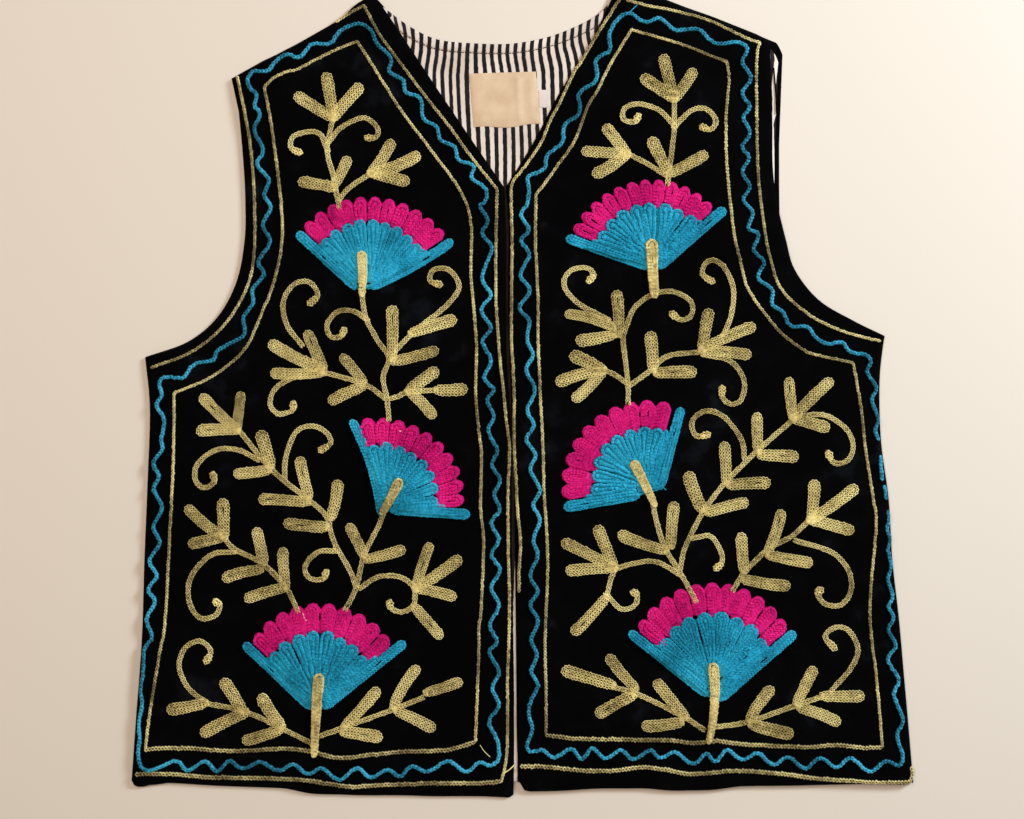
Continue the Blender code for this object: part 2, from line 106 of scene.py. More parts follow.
RIGHT_FRONT = table_of(Section,
    (-7.0, -300.0, -288.2, -286.5), (-6.5, -258.0, -285.2, -245.0), (-7.0, -199.0, -280.7, -184.5),
    (-8.0, -140.0, -278.8, -126.0), (-8.5, -82.0, -276.4, -67.0), (-8.9, -30.0, -274.8, -15.0),
    (-11.4, 10.0, -278.2, 23.5, "side"), (-12.3, 32.0, -246.5, 35.0), (-12.5, 65.0, -225.0, 53.0),
    (-12.5, 91.0, -211.0, 79.0), (-12.6, 117.0, -205.0, 110.0), (-14.0, 148.5, -204.5, 139.0, "centre"),
    (-39.0, 185.0, -206.0, 168.0), (-63.0, 220.5, -209.0, 201.0), (-87.0, 255.0, -211.0, 218.0),
    (-110.0, 287.5, -212.5, 229.5),
)
LEFT_FRONT = table_of(Section,
    (-3.4, -294.5, 287.4, -286.5), (-4.6, -258.0, 284.8, -258.0), (-5.0, -214.0, 280.8, -214.0),
    (-5.4, -170.0, 276.9, -170.0), (-6.0, -126.0, 272.0, -126.0), (-6.3, -81.5, 269.3, -81.5),
    (-8.0, -37.5, 263.6, -37.5), (-9.0, 3.0, 262.6, 6.5), (-10.4, 32.0, 266.0, 39.0, "side"),
    (-10.9, 58.0, 242.5, 50.5), (-10.9, 76.5, 217.5, 65.5), (-10.8, 95.0, 200.0, 87.5),
    (-10.6, 120.5, 193.4, 109.5), (-12.6, 148.5, 186.5, 139.0, "centre"), (7.5, 181.0, 183.6, 164.5),
    (27.0, 218.0, 183.4, 194.0), (49.0, 253.5, 182.6, 223.5), (71.0, 299.5, 181.5, 255.5),
)
RIGHT_HEM = table_of(Dip,
    (0.0, -1.2), (0.012, 1.0), (0.06, 1.0), (0.25, 2.9), (0.44, 4.7), (0.52, 5.2), (0.61, 2.1), (0.78, 2.6),
    (0.9, 2.2), (0.945, 4.2), (0.98, 6.4), (0.992, 5.4), (1.0, 2.0),
)
LEFT_HEM = table_of(Dip,
    (0.0, -5.5), (0.02, 1.8), (0.1, 1.9), (0.2, 1.0), (0.3, 1.6), (0.407, 4.2), (0.48, 4.4), (0.57, 2.2),
    (0.714, 2.8), (0.9, 3.0), (0.97, 4.2), (1.0, 3.3),
)
RIGHT_SHOULDER = table_of(Dip,
    (0.0, -3.2), (0.11, -2.8), (0.25, 1.4), (0.53, 1.5), (0.67, 0.9), (0.81, -0.2), (0.96, -0.3),
    (1.0, 0.0),
)
LEFT_SHOULDER = table_of(Dip, (0.0, 0.0), (0.4, -1.0), (0.65, -2.0), (0.9, -2.0), (1.0, -1.0))
BACK_HEM = table_of(Dip, (0.0, 0.0), (0.25, 4.0), (0.5, 7.0), (0.75, 4.0), (1.0, 0.0))
BACK = table_of(BackRow,
    (-284.0, -282.5, 284.0, -282.5), (-282.0, -245.0, 281.0, -245.0), (-279.0, -199.0, 276.5, -199.0),
    (-276.5, -140.0, 270.0, -140.0), (-273.5, -81.5, 265.0, -81.5), (-272.5, -30.0, 259.5, -30.0),
    (-273.5, 5.0, 260.0, 8.0), (-274.5, 21.0, 262.0, 35.0, 5.0, 5.0, "side"), (-245.5, 32.0, 240.0, 48.5),
    (-222.0, 50.0, 215.0, 63.5, 5.0, 4.5), (-207.5, 76.5, 198.0, 86.0, 5.0, 4.0),
    (-201.5, 109.0, 190.4, 109.5, 5.0, 3.2), (-200.5, 139.0, 189.1, 139.0, 5.0, 4.0),
    (-202.5, 172.0, 188.9, 180.0, 5.0, 3.4),
)
BACK_SHOULDER_LEFT = (-215.0, 229.0)
BACK_SHOULDER_RIGHT = (191.4, 254.5)
SHOULDER_ROUND = 7.0
SHOULDER_DROP = 8.0
BACK_NECK = ((-106.5, 286.5), (-90.5, 271.6), (-65.0, 258.0), (-35.0, 254.5), (-7.0, 254.5),
             (21.0, 260.0), (48.0, 271.5), (62.0, 282.5), (70.0, 297.0))
NECK_SHARE = (0.248, 0.698)
NECK_ROLL = 0.6
SHOULDER_INSET = 6.0
NECK_PULL = 0.3
SHOULDER_EASE = 25.0
NECK_EASE = 17.0
NECK_STEP = 2.0
HEM_INSET = 0.4

# Main creases of each panel: a soft ridge, or a trough where the height is below zero. Each bows by a share
# of its length, and fades over a share of it at both ends and over a distance at the panel's edge.
CREASE_BOW = 0.12
CREASE_FADE = 0.35
CREASE_FROM = 1.0
CREASE_RUN = 9.0
LINING_CREASE_RUN = 8.0
RIGHT_CREASES = table_of(Crease,
    (-262.0, 8.0, -170.0, -70.0, 13.0, 1.0), (-240.0, 22.0, -190.0, -30.0, 9.0, -0.7),
    (-203.0, 165.0, -140.0, 132.0, 10.0, 0.8), (-152.0, -292.0, -166.0, -190.0, 14.0, 1.1),
    (-98.0, -296.0, -112.0, -236.0, 12.0, -0.6), (-272.0, -108.0, -190.0, -132.0, 12.0, 0.8),
    (-60.0, -40.0, -24.0, -150.0, 11.0, -0.6), (-120.0, 236.0, -70.0, 150.0, 13.0, 0.7),
)
LEFT_CREASES = table_of(Crease,
    (248.0, 24.0, 160.0, -48.0, 13.0, 1.0), (226.0, 40.0, 176.0, -10.0, 9.0, -0.7),
    (60.0, 84.0, 118.0, 38.0, 16.0, 0.8), (128.0, -290.0, 150.0, -190.0, 14.0, 0.9),
    (60.0, -292.0, 74.0, -232.0, 12.0, -0.6), (264.0, -92.0, 186.0, -130.0, 12.0, 0.8),
    (40.0, -30.0, 18.0, -150.0, 11.0, -0.6), (118.0, 252.0, 92.0, 160.0, 13.0, 0.7),
)
LINING_CREASES = table_of(Crease,
    (-46.0, 246.0, -34.0, 165.0, 5.0, 0.28), (20.0, 252.0, 12.0, 170.0, 5.0, 0.28),
    (-72.0, 250.0, -56.0, 205.0, 4.0, -0.25), (40.0, 262.0, 30.0, 206.0, 4.0, -0.25),
)

# Embroidered flowers, in millimetres: the same table as the solids
Radii = namedtuple("Radii", "right middle left")
Wing = namedtuple("Wing", "tip foot half bow point", defaults=(0.0, 1.0))
Flower = namedtuple("Flower", "name front centre fan crown right left"
                              " fan_lobes crown_lobes stalk stalk_halves")
FLOWERS = (
    Flower("right_top", "right", (-113.0, 75.0), Radii(47.0, 47.0, 46.5), Radii(65.5, 63.0, 62.5),
           Wing((-53.5, 107.5), (-106.0, 77.5), 3.7, 1.8),
           Wing((-164.0, 113.0), (-126.0, 77.5), 3.7), 9, 11, ((362, 292), (362, 251)), (2.0, 3.9)),
    Flower("right_middle", "right", (-101.5, -84.0), Radii(37.0, 41.5, 44.0), Radii(54.5, 58.0, 61.5),
           Wing((-41.5, -92.0), (-92.0, -89.0), 4.0),
           Wing((-125.0, -24.5), (-106.0, -86.0), 3.4, -3.6), 8, 10, ((384, 510), (401, 478)), (2.2, 3.9)),
    Flower("right_low", "right", (-150.5, -226.5), Radii(44.0, 47.0, 45.5), Radii(65.0, 66.5, 61.0),
           Wing((-88.5, -187.0), (-141.0, -229.5), 4.0),
           Wing((-203.0, -188.0), (-159.5, -229.5), 3.7), 8, 10, ((315, 751), (320, 672)), (2.0, 4.4)),
    Flower("left_top", "left", (95.0, 93.5), Radii(42.0, 41.5, 42.5), Radii(57.0, 57.0, 60.5),
           Wing((146.0, 130.5), (103.5, 93.0), 4.0),
           Wing((33.5, 110.0), (87.0, 91.0), 3.7), 8, 12, ((654, 293), (651, 239)), (2.8, 4.7)),
    Flower("left_middle", "left", (89.5, -70.0), Radii(41.0, 40.0, 38.0), Radii(59.5, 58.0, 58.5),
           Wing((115.0, -17.0), (101.0, -68.0), 5.5, 0.0, 0.64),
           Wing((32.5, -86.5), (80.0, -78.5), 4.2), 8, 10, ((653, 502), (632, 460)), (2.1, 3.9)),
    Flower("left_low", "left", (139.0, -214.0), Radii(46.0, 49.5, 45.0), Radii(65.0, 69.0, 65.0),
           Wing((197.5, -180.0), (148.5, -223.5), 4.2),
           Wing((79.5, -179.5), (129.5, -220.0), 3.7), 8, 11, ((708.5, 738), (712, 661)), (1.9, 4.1)),
)

# Label and tab on the lining: corners counter-clockwise from low left
Tape = namedtuple("Tape", "corners grid thick pucker")
LABEL = Tape(((-36.0, 192.0), (13.0, 194.5), (9.5, 233.5), (-39.5, 232.0)), (46, 36), 0.65, 1.0)
TAB = Tape(((12.0, 207.0), (20.0, 207.5), (20.0, 220.0), (11.5, 220.0)), (10, 14), 0.4, 0.3)

# Chain stitches: the pitch of a link, how wide a row is, and how thick its yarn is as a share of that width
PITCH = 2.4
ROW = 2.2
FILL = 0.26
NECK = 0.6
Line = namedtuple("Line", "width lift fill pitch neck")
GOLD_LINE = Line(2.65, 0.0, 0.25, PITCH, 0.75)
HEM_LINE = Line(3.9, 0.0, 0.18, PITCH, 0.5)
WAVE_LINE = Line(3.35, 0.05, 0.29, 2.6, 0.85)
HEM_TOP = -240.0

# A link: where the corners of its yarn lie round it, how high it sits, and how much links differ
LINK_TURNS = np.radians((90.0, 210.0, 330.0))
LINK_ROUND = 1.15
STRAND_TURNS = math.tau * np.arange(5) / 5
LINK_SEAT = 0.75
SHORTEST_LINK = 0.3
TURN_DRAW, ASIDE_DRAW, WIDTH_DRAW, LIFT_DRAW = 0.06, 0.035, 0.05, 0.05

# What the faces of the sewing are
STITCHES, PADDING, OPENING = range(3)

# Padding: its low dome from side to side, and how far it stays inside the rows
DOME_AT = np.array((-1.0, -0.86, 0.0, 0.86, 1.0))
DOME_RISE = np.array((-0.35, 0.75, 1.0, 0.75, -0.35))
PADDING_INSET = 0.5
PADDING_STEP = 4.0
THINNEST = 0.2

# Leaves and petals: the bend, the narrow foot, the round cap and the open slit of some
BEND_DRAW = 0.02
FATTEST = 0.45
FOOT_SHARE = 0.45
FOOT_RUN = 1.1
CAP_TURNS = np.radians((35.0, 62.0, 84.0))
CAP_STEPS = 9
EVEN_FROM = 0.4
SINGLE_FROM = 0.25
PAIR_FROM = 0.95
TIGHT = (0.9, 1.2)
ROW_WIDE = 1.2
ROW_SEAT = 0.4
SINGLE_WIDE = 1.15
PATH_STEP = 0.8
SLIT_AT = (0.45, 0.8)
SLIT_HALF = (0.3, 0.55)
SLIT_RUN = 3.2
SLIT_REACH = 3.4
SLIT_SHARE = 0.2
SLIT_OVER = 0.25
SLIT_RISE = 0.05
SLIT_DEEP = 0.1
SLIT_TIP = 0.05
SLIT_STEPS = 6

# How such a filled shape lies: its height above the ground, its dome, how often it has a slit, and its yarn
Look = namedtuple("Look", "lift dome slits fill", defaults=(0.0, FILL))
CROWN_PETAL = Look(-0.25, 0.55, 0.25)
FAN_PETAL = Look(0.35, 0.45, 0.45)
WING = Look(-0.1, 0.4, 0.6)
WING_ROW = Look(-0.3, 0.4)
LEAF = Look(0.2, 0.6, 0.5, 0.134)
CURL_END = Look(0.3, 0.5, 0.0, 0.15)
STALK = Look(1.95, 0.3, 0.0, 0.23)

# Flowers: a petal reaches past its plate, and rows of stitches close the fan's foot
CROWN_OVERLAP, FAN_OVERLAP = 0.95, 0.98
PETAL_TURN_DRAW = 0.008
PETAL_OVER = 2.0
PETAL_REACH_DRAW = 0.6
PETAL_CAP = 4.0
NARROWEST_ROOT = 1.3
BETWEEN = (0.35, 0.6)
BETWEEN_HALF = 0.6
SHORTEST_BETWEEN = 3.0
FAN_ROOT = 4.0
CROWN_UNDER = 2.0
WING_ROWS = ((0.5, 0.72), (3.4, 0.6), (6.3, 0.4))
WING_ROW_HALVES = (1.9, 2.2)
WING_ROW_ROOT = 3.0
WING_ROW_CLOSE = 0.8
WING_ROOT, WING_OVER, WING_BASE = 0.1, 0.7, 0.9
SECTOR_STEPS = 25
SECTOR_INSET = 2.5
SECTOR_AT = (0.06, 0.5, 0.97, 1.0)
SECTOR_LIFT = (0.2, 0.2, 0.2, -0.5)
FOOT_ROWS = 4
FOOT_ROW = 1.9
FOOT_START = 0.3
FOOT_BACK = 0.12
FOOT_WIDE = 1.1
FOOT_LIFT = -0.1
SHORTEST_UP = 0.1
CROWN_RISE = 0.7
CROWN_SEED, FAN_SEED = 7, 11

# Vines
STEM_HALF = 1.95
STEM_LIFT, CURL_LIFT = 0.05, 0.1
STEM_PADDING, STEM_PICK = 0.5, 3
STEM_WIDE = 1.12
STEM_RISE = 0.15
STEM_FILL = 0.17
LEAF_BASE = 3.7
LEAF_TIP = 4.5
LEAF_ROOT = 2.5
LEAF_OVER = 1.5
LEAF_DRAW = 0.06
CURL_ROOT = 2.5
CURL_OVER = 2.0
CURL_AIM, CURL_BACK = 3, 7
CURL_HALVES = (2.3, 2.9)
STALK_FOOT = 3.5

# Seeds of the random draws. The first five are for one front: it adds its own number.
VINE_SEED, LEAF_SEED, STALK_SEED, GOLD_SEED, BLUE_SEED = 20, 30, 40, 50, 60
NECK_SEED, ROLL_SEED, LOOSE_SEED = 71, 72, 81

# Tapes: the waver of the top edge, the puckers, and one fold that runs up the label
TAPE_SINK = 0.25
TAPE_EDGE = 1.6
WAVER, WAVER_TURN, WAVER_START = 0.9, 8.2, 0.6
PUCKER = 0.35
FINE_TURN, FINE_SWAY, FINE_SWAY_TURN, FINE_SHARE = 21.0, 1.2, 4.0, 0.5
BROAD_TURN, BROAD_LEAN = 9.0, 3.0
PUCKER_FADE = 6.0
FOLD_RISE, FOLD_AT, FOLD_LEAN, FOLD_WIDTH = 0.62, 0.69, 0.03, 0.05

# Sewing that is laid out in the photograph's pixels. A line turns sharply between its runs.
RIGHT_INNER = (
    ((264, 87), (274, 77.5), (286, 72), (298, 69), (310, 62.5), (334, 50.5), (357, 41)),
    ((357, 41), (378, 74), (400, 109), (430, 149), (461, 192), (471, 225), (471, 275), (475.5, 330),
     (476.5, 355), (475.5, 390), (477.5, 420), (481, 450), (481, 480), (480.5, 510), (483.5, 540),
     (481.5, 600), (479, 630), (478.5, 660), (475.5, 741)),
    ((475, 742), (446, 750), (395, 752.5), (341, 758), (315, 752), (287, 748.5), (233, 751), (179, 748),
     (145, 749.5)),
    ((145, 749), (150, 710), (160, 650), (165, 620), (171.5, 500), (173.5, 450), (174, 393)),
    ((174, 393), (211, 377), (244, 350), (260, 317), (274, 281), (282, 240), (281, 203), (276, 158),
     (269, 112), (264, 87)),
)
RIGHT_OUTER = (
    ((336, 21), (350, 12.5), (364, 5)),
    ((364, 6), (380, 35), (396, 57), (427, 98), (452, 130), (466, 150), (476, 163), (497, 189)),
    ((497, 189), (496, 240), (496, 300), (500, 360), (503.5, 390), (506, 420), (509.5, 448), (508, 490),
     (508, 540), (509.5, 610), (507.5, 680), (507, 750), (502, 780)),
    ((502, 781.5), (476, 783.5), (428, 783.7), (380, 785.5), (354, 787), (330, 784.3), (308, 780.5),
     (270, 778.7), (212, 777.5), (185, 775.3), (160, 774), (136, 774.5)),
    ((151, 368), (191, 352), (224, 325), (246, 289), (254, 254), (254, 192), (249, 137), (237, 76)),
)
RIGHT_WAVE = (
    ((247, 79), (253, 71), (267, 71), (276, 61), (286, 54.5), (300, 57), (312, 44), (330, 43.5), (340, 31),
     (359, 23.5), (371, 31), (377, 44), (389, 55), (391, 63), (389, 72), (403, 80), (405, 92), (420, 98),
     (422, 112), (424, 120), (437, 127), (440, 140), (455, 147), (458, 160), (474, 166), (471, 178),
     (485, 188), (486, 200), (480, 207), (488, 220), (482, 234), (492, 247), (487, 262), (482, 280),
     (491, 295), (481, 310), (491, 328), (482, 342), (491, 360), (484, 378), (494, 390), (487, 400),
     (494, 417), (488, 430), (497, 450), (492, 465), (500, 480), (494, 495), (500, 510), (491, 523),
     (499, 540), (491, 555), (500, 570), (491, 588), (499, 605), (490, 625), (497, 642), (489, 652),
     (499, 672), (492, 688), (499, 705), (489, 722), (497, 740), (499, 755), (497, 762), (489, 766),
     (480, 762), (466, 772), (448, 761), (428, 772), (412, 766), (400, 777), (388, 770), (370, 778),
     (357, 768), (339, 780), (322, 768), (308, 774), (293, 764), (278, 771), (260, 762), (243, 769),
     (229, 761), (217, 772), (205, 761), (188, 771), (177, 761), (161, 767), (149, 771), (142, 768),
     (138.5, 760), (138, 750), (139.5, 739), (138.5, 729), (139, 719), (142, 704), (140, 690), (143, 672),
     (144, 650), (152, 637), (146, 620), (155, 602), (148, 590), (157, 575), (149, 561), (160, 543),
     (153, 527), (162, 508), (153, 490), (159, 477), (153, 463), (162, 450), (161, 440), (164, 420),
     (156, 405), (162, 395), (159, 383), (165, 377), (183, 378), (190, 368), (198, 363), (213, 360),
     (218, 350), (244, 335), (243, 318), (253, 303), (252, 290), (264, 274), (258, 262), (270, 242),
     (264, 230), (263, 222), (271, 207), (264, 195), (269, 180), (257, 165), (263, 150), (254, 130),
     (260, 115), (254, 105), (257, 95), (249, 87), (247, 79)),
)
LEFT_INNER = (
    ((632, 30), (650, 35), (680, 44), (700, 51.5), (727, 62)),
    ((727, 62), (729, 80), (726, 118), (727, 168), (733.5, 230), (740, 260), (748.5, 290), (770, 320),
     (783, 335), (803.5, 350), (817, 355), (853, 363)),
    ((853, 363), (861.5, 410), (865, 445), (873.5, 500), (876, 528), (870, 612), (877, 682), (882.5, 747)),
    ((882, 747.5), (860, 747.5), (836, 745), (812, 747), (788, 746.5), (740, 744), (716, 741), (692, 743),
     (668, 740.5), (580, 739), (546, 735)),
    ((546, 733), (546, 690), (545, 640), (547.5, 580), (547, 540), (544, 490), (543, 450), (540, 390),
     (538, 340), (538, 300), (535.5, 240), (536, 194)),
    ((536, 194), (545, 183), (560, 162), (575, 140), (587.5, 107), (597.5, 90), (610, 65), (632, 29)),
)
LEFT_OUTER = (
    ((519, 592), (519, 570), (520.6, 545), (517.5, 510), (516, 480), (514, 440), (514, 390), (511.5, 340),
     (511.5, 300), (512, 240), (511, 200)),
    ((511, 200), (512, 183), (522, 170), (536.5, 150), (543, 138), (550.5, 120), (560.5, 101), (573, 74),
     (582.5, 59), (593, 41), (605.5, 21), (619, 0), (625, -8)),
    ((627, 0), (650, 6), (670, 9.5), (690, 14.5), (710, 20.5), (730, 30), (750, 39.5), (759, 42)),
    ((760, 42), (757.5, 52), (756.5, 84), (758, 168), (764, 224), (770, 257), (782, 290), (811, 316),
     (845, 332), (880, 341)),
    ((912.5, 768), (913, 777), (910.5, 783)),
    ((911, 782.5), (880, 783), (850, 781), (810, 778), (786, 774.5), (738, 771), (690, 774), (666, 770),
     (642, 767.5), (618, 770.5), (594, 771.5), (570, 769.5), (546, 767), (521, 766.5)),
)
LEFT_WAVE = (
    ((527, 205), (529, 190), (527, 178), (533, 174), (545, 168), (547, 155), (562, 143), (563, 130),
     (567, 122), (578, 115), (580, 105), (578, 95), (585, 88), (595, 82), (597, 72), (595, 62), (600, 56),
     (610, 50), (609, 35), (613, 25), (620, 17), (630, 13), (640, 20), (648, 22), (660, 18), (675, 30),
     (690, 29), (700, 30), (710, 40), (720, 44), (735, 42), (745, 45), (747, 52), (742, 62), (751, 78),
     (742, 93), (750, 107), (743, 117), (750, 133), (742, 147), (749, 158), (742, 172), (750, 187),
     (743, 200), (753, 212), (748, 228), (759, 235), (753, 250), (764, 262), (758, 278), (772, 290),
     (772, 305), (783, 312), (790, 326), (808, 327), (815, 337), (828, 344), (842, 342), (850, 352),
     (866, 355), (871, 362), (867, 372), (877, 388), (872, 400), (879, 420), (875, 430), (879, 440)),
    ((881, 456), (881.5, 468), (882.5, 480)),
    ((885, 486), (886.5, 499)),
    ((889, 511), (889.5, 520), (887.5, 530), (891, 540), (888, 550), (892, 565), (888, 579), (893, 597),
     (888, 606), (894, 618), (888, 630), (896, 645), (888, 660), (899, 680), (894, 695), (903, 720),
     (897, 735), (903, 756), (899, 766), (885, 761), (870, 772), (850, 758), (837, 768), (820, 758),
     (805, 769), (788, 757), (773, 765), (758, 753), (742, 760), (727, 750), (715, 762), (706, 753),
     (693, 764), (675, 752), (660, 758), (650, 750), (633, 760), (621, 750), (605, 759), (592, 748),
     (582, 760), (571, 749), (554, 758), (543, 750), (530, 752), (527, 745), (532, 730), (529, 715),
     (530, 703), (538, 685), (531, 672), (537, 655), (531, 640), (538, 622), (530, 605), (538, 592),
     (530, 576), (538, 555), (533, 540), (540, 520), (533, 505), (540, 490), (530, 470), (536, 455),
     (526, 440), (534, 425), (527, 410), (535, 390), (526, 370), (533, 355), (527, 340), (529, 320),
     (519, 308), (530, 290), (520, 275), (529, 255), (521, 240), (529, 230), (521, 215), (527, 205)),
)

# Stems, thin curls and leaves. A group of leaves starts with the place that they spring from.
RIGHT_STEMS = (
    ((340, 209), (337, 196), (333, 175), (327, 151), (330, 132), (333, 118)),
    ((338, 201), (349, 188), (371, 173)),
    ((361, 289), (366, 318), (378, 341), (389, 358), (383, 377), (387, 399), (389, 421)),
    ((386, 399), (364, 384), (323, 372)),
    ((390, 399), (399, 396), (409, 392), (438, 390)),
    ((299, 612), (294, 603), (286, 588), (263, 564), (235, 549), (224, 538)),
    ((335, 545), (331, 533), (326, 516), (309, 500), (282, 479), (265, 462), (238, 429)),
    ((385, 509), (378, 527), (364, 555), (356, 588), (345, 610)),
    ((335, 545), (350, 571), (356, 588)),
    ((359, 589), (378, 577), (400, 577), (416, 588)),
    ((312, 743), (282, 728), (244, 711), (205, 703)),
    ((320, 736), (342, 728), (392, 710), (424, 697)),
)
RIGHT_CURLS = (
    ((327, 149), (320, 134), (307, 132), (293, 137), (291, 148), (301, 153)),
    ((328, 143), (342, 127), (364, 118), (378, 129), (375, 138), (366, 138)),
    ((366, 319), (353, 311), (337, 312), (327, 325), (331, 337), (342, 336), (345, 329)),
    ((394, 352), (416, 330), (446, 306), (459, 287), (449, 270), (433, 270), (430, 281), (441, 285)),
    ((301, 344), (287, 325), (283, 303), (293, 285), (309, 282), (318, 295), (309, 304)),
    ((323, 374), (296, 377), (276, 388), (270, 404), (279, 414), (293, 410), (294, 402)),
    ((233, 552), (211, 555), (191, 577), (189, 601), (200, 618), (216, 615), (220, 604), (215, 600)),
    ((257, 459), (238, 450), (216, 450), (197, 465), (196, 481), (205, 488), (215, 481), (213, 473)),
    ((285, 476), (286, 457), (296, 432), (312, 426), (326, 432), (331, 443), (320, 451)),
    ((335, 551), (318, 552), (305, 566), (309, 578), (323, 579), (327, 571)),
    ((415, 590), (414, 604), (403, 612), (390, 608), (389, 601)),
    ((205, 701), (189, 689), (179, 667), (185, 648), (200, 641), (211, 651), (206, 662)),
)
RIGHT_LEAVES = (
    ((333, 118), (296, 95), (326, 74), (361, 86)), ((334, 188), (300, 182)), ((335, 184), (348, 158)),
    ((371, 173), (392, 141), (419, 155), (408, 182)), ((392, 358), (392, 307)), ((412, 333), (455, 319)),
    ((394, 361), (437, 350)), ((363, 381), (342, 356)), ((361, 388), (330, 402)), ((323, 369), (307, 332)),
    ((320, 368), (270, 343)), ((321, 373), (272, 373)), ((409, 391), (437, 370), (434, 417)),
    ((438, 390), (466, 389)), ((286, 585), (283, 549)), ((284, 588), (246, 599)), ((263, 562), (256, 529)),
    ((260, 570), (224, 579)), ((224, 536), (187, 507), (223, 500), (190, 544)), ((331, 517), (338, 481)),
    ((326, 527), (285, 523)), ((309, 495), (300, 458)), ((307, 502), (260, 499)), ((271, 465), (261, 432)),
    ((268, 470), (235, 474)), ((237, 430), (202, 396), (241, 393), (198, 431)), ((364, 555), (349, 525)),
    ((367, 559), (404, 549)), ((416, 588), (430, 544), (460, 558), (455, 597)), ((415, 607), (441, 637)),
    ((282, 725), (261, 695)), ((279, 730), (244, 741)), ((242, 710), (223, 680)), ((246, 712), (202, 734)),
    ((205, 703), (168, 710)), ((345, 725), (378, 689)), ((344, 732), (381, 738)), ((394, 706), (418, 667)),
    ((397, 711), (434, 729)), ((427, 692), (461, 681)),
)
LEFT_STEMS = (
    ((667, 186), (671, 157), (674, 129), (674, 101)),
    ((668, 177), (649, 165), (629, 154)),
    ((654, 293), (635, 307), (625, 330), (623, 341), (626, 366), (628, 386), (628, 405)),
    ((628, 384), (615, 375), (604, 370)),
    ((629, 386), (651, 370), (668, 356), (702, 352)),
    ((680, 570), (684, 550), (694, 528), (705, 509), (724, 484), (758, 450), (792, 420)),
    ((732, 591), (744, 573), (767, 550), (792, 536), (809, 520)),
    ((653, 504), (656, 520), (665, 548), (682, 576), (696, 602)),
    ((682, 576), (657, 562), (635, 563), (615, 569)),
    ((614, 570), (610, 582), (607, 595)),
    ((705, 730), (682, 716), (637, 694), (612, 687)),
    ((713, 727), (747, 722), (797, 705), (831, 694)),
)
LEFT_CURLS = (
    ((674, 126), (660, 111), (640, 104), (625, 108), (623, 119), (635, 122), (639, 115)),
    ((675, 126), (691, 111), (706, 109), (716, 121), (710, 130), (701, 126)),
    ((654, 293), (674, 292), (691, 302), (691, 316), (680, 320), (671, 313)),
    ((607, 319), (579, 304), (564, 286), (570, 271), (587, 268), (594, 276), (588, 282)),
    ((722, 338), (731, 316), (733, 288), (722, 265), (708, 261), (702, 274), (713, 282)),
    ((705, 355), (730, 361), (744, 380), (741, 400), (730, 404), (722, 397), (722, 387)),
    ((795, 417), (823, 415), (845, 428), (853, 445), (848, 460), (834, 463), (827, 452)),
    ((744, 456), (741, 439), (724, 417), (705, 411), (692, 422), (696, 436), (709, 434)),
    ((797, 541), (831, 552), (848, 570), (851, 590), (841, 605), (825, 604), (817, 593), (820, 588)),
    ((694, 538), (710, 536), (720, 550), (722, 562), (715, 569)),
    ((607, 595), (621, 609), (635, 605), (637, 593), (632, 591)),
    ((831, 691), (851, 668), (858, 649), (848, 630), (834, 628), (825, 637), (835, 649)),
)
LEFT_LEAVES = (
    ((674, 99), (642, 77), (663, 56), (694, 70)), ((668, 171), (651, 139)), ((671, 173), (706, 154)),
    ((627, 154), (605, 126), (583, 151), (594, 175)), ((618, 334), (616, 292)), ((612, 327), (566, 314)),
    ((612, 335), (577, 341)), ((603, 370), (571, 355), (557, 383), (574, 400)), ((653, 369), (650, 333)),
    ((657, 373), (695, 372)), ((702, 350), (709, 310), (754, 326), (750, 355)), ((702, 509), (688, 473)),
    ((708, 512), (747, 502)), ((726, 481), (724, 443)), ((730, 485), (769, 483)), ((758, 450), (757, 414)),
    ((761, 455), (797, 457)), ((793, 418), (789, 379), (831, 380), (828, 428)), ((744, 570), (741, 534)),
    ((744, 579), (789, 586)), ((768, 550), (781, 511)), ((769, 555), (811, 563)),
    ((810, 520), (814, 481), (856, 487), (852, 531)), ((665, 550), (619, 534)), ((671, 545), (674, 503)),
    ((614, 568), (597, 527), (563, 542), (567, 571)), ((605, 598), (573, 633)), ((685, 716), (656, 681)),
    ((680, 722), (643, 726)), ((635, 688), (608, 656)), ((632, 696), (597, 715)), ((612, 685), (563, 670)),
    ((750, 719), (772, 688)), ((752, 724), (792, 734)), ((797, 702), (814, 668)), ((800, 708), (839, 723)),
    ((823, 696), (863, 696)),
)


# Loose ends of yarn: where, in which yarn, how high above the ground and how thick
Loose = namedtuple("Loose", "side yarn lift radius places")
LOOSE = (
    Loose("right", "gold", 0.6, 0.42, ((504, 773), (509, 770), (515, 765))),
    Loose("right", "gold", 0.4, 0.22, ((480, 745), (484, 751), (490, 757))),
    Loose("right", "pale", 2.0, 0.40, ((303, 612), (304, 616), (307, 621))),
    Loose("right", "pale", 2.0, 0.75, ((398.5, 431), (401.5, 431.5))),
    Loose("left", "blue", 0.6, 0.35, ((630, 12), (634, 8), (637, 5))),
    Loose("left", "blue", 0.5, 0.40, ((662, 483), (663, 487), (666, 490))),
)

# A roll of the velvet that lies over the lining at the left armhole: a dark strand that also narrows the lit
# lining there, partly painted shade between the layers
ARMHOLE_SHADE_ROLL = ((774.3, 67), (775.4, 80), (776.5, 93), (777.3, 113))
ARMHOLE_RADIUS, ARMHOLE_LIFT = 0.6, 0.2

# What each front is made from, and what it adds to the seeds
Front = namedtuple("Front", "table hem shoulder falls creases stems curls leaves inner outer wave seed")
FRONTS = {
    "right": Front(RIGHT_FRONT, RIGHT_HEM, RIGHT_SHOULDER, True, RIGHT_CREASES, RIGHT_STEMS, RIGHT_CURLS,
                   RIGHT_LEAVES, RIGHT_INNER, RIGHT_OUTER, RIGHT_WAVE, 1),
    "left": Front(LEFT_FRONT, LEFT_HEM, LEFT_SHOULDER, False, LEFT_CREASES, LEFT_STEMS, LEFT_CURLS,
                  LEFT_LEAVES, LEFT_INNER, LEFT_OUTER, LEFT_WAVE, 2),
}


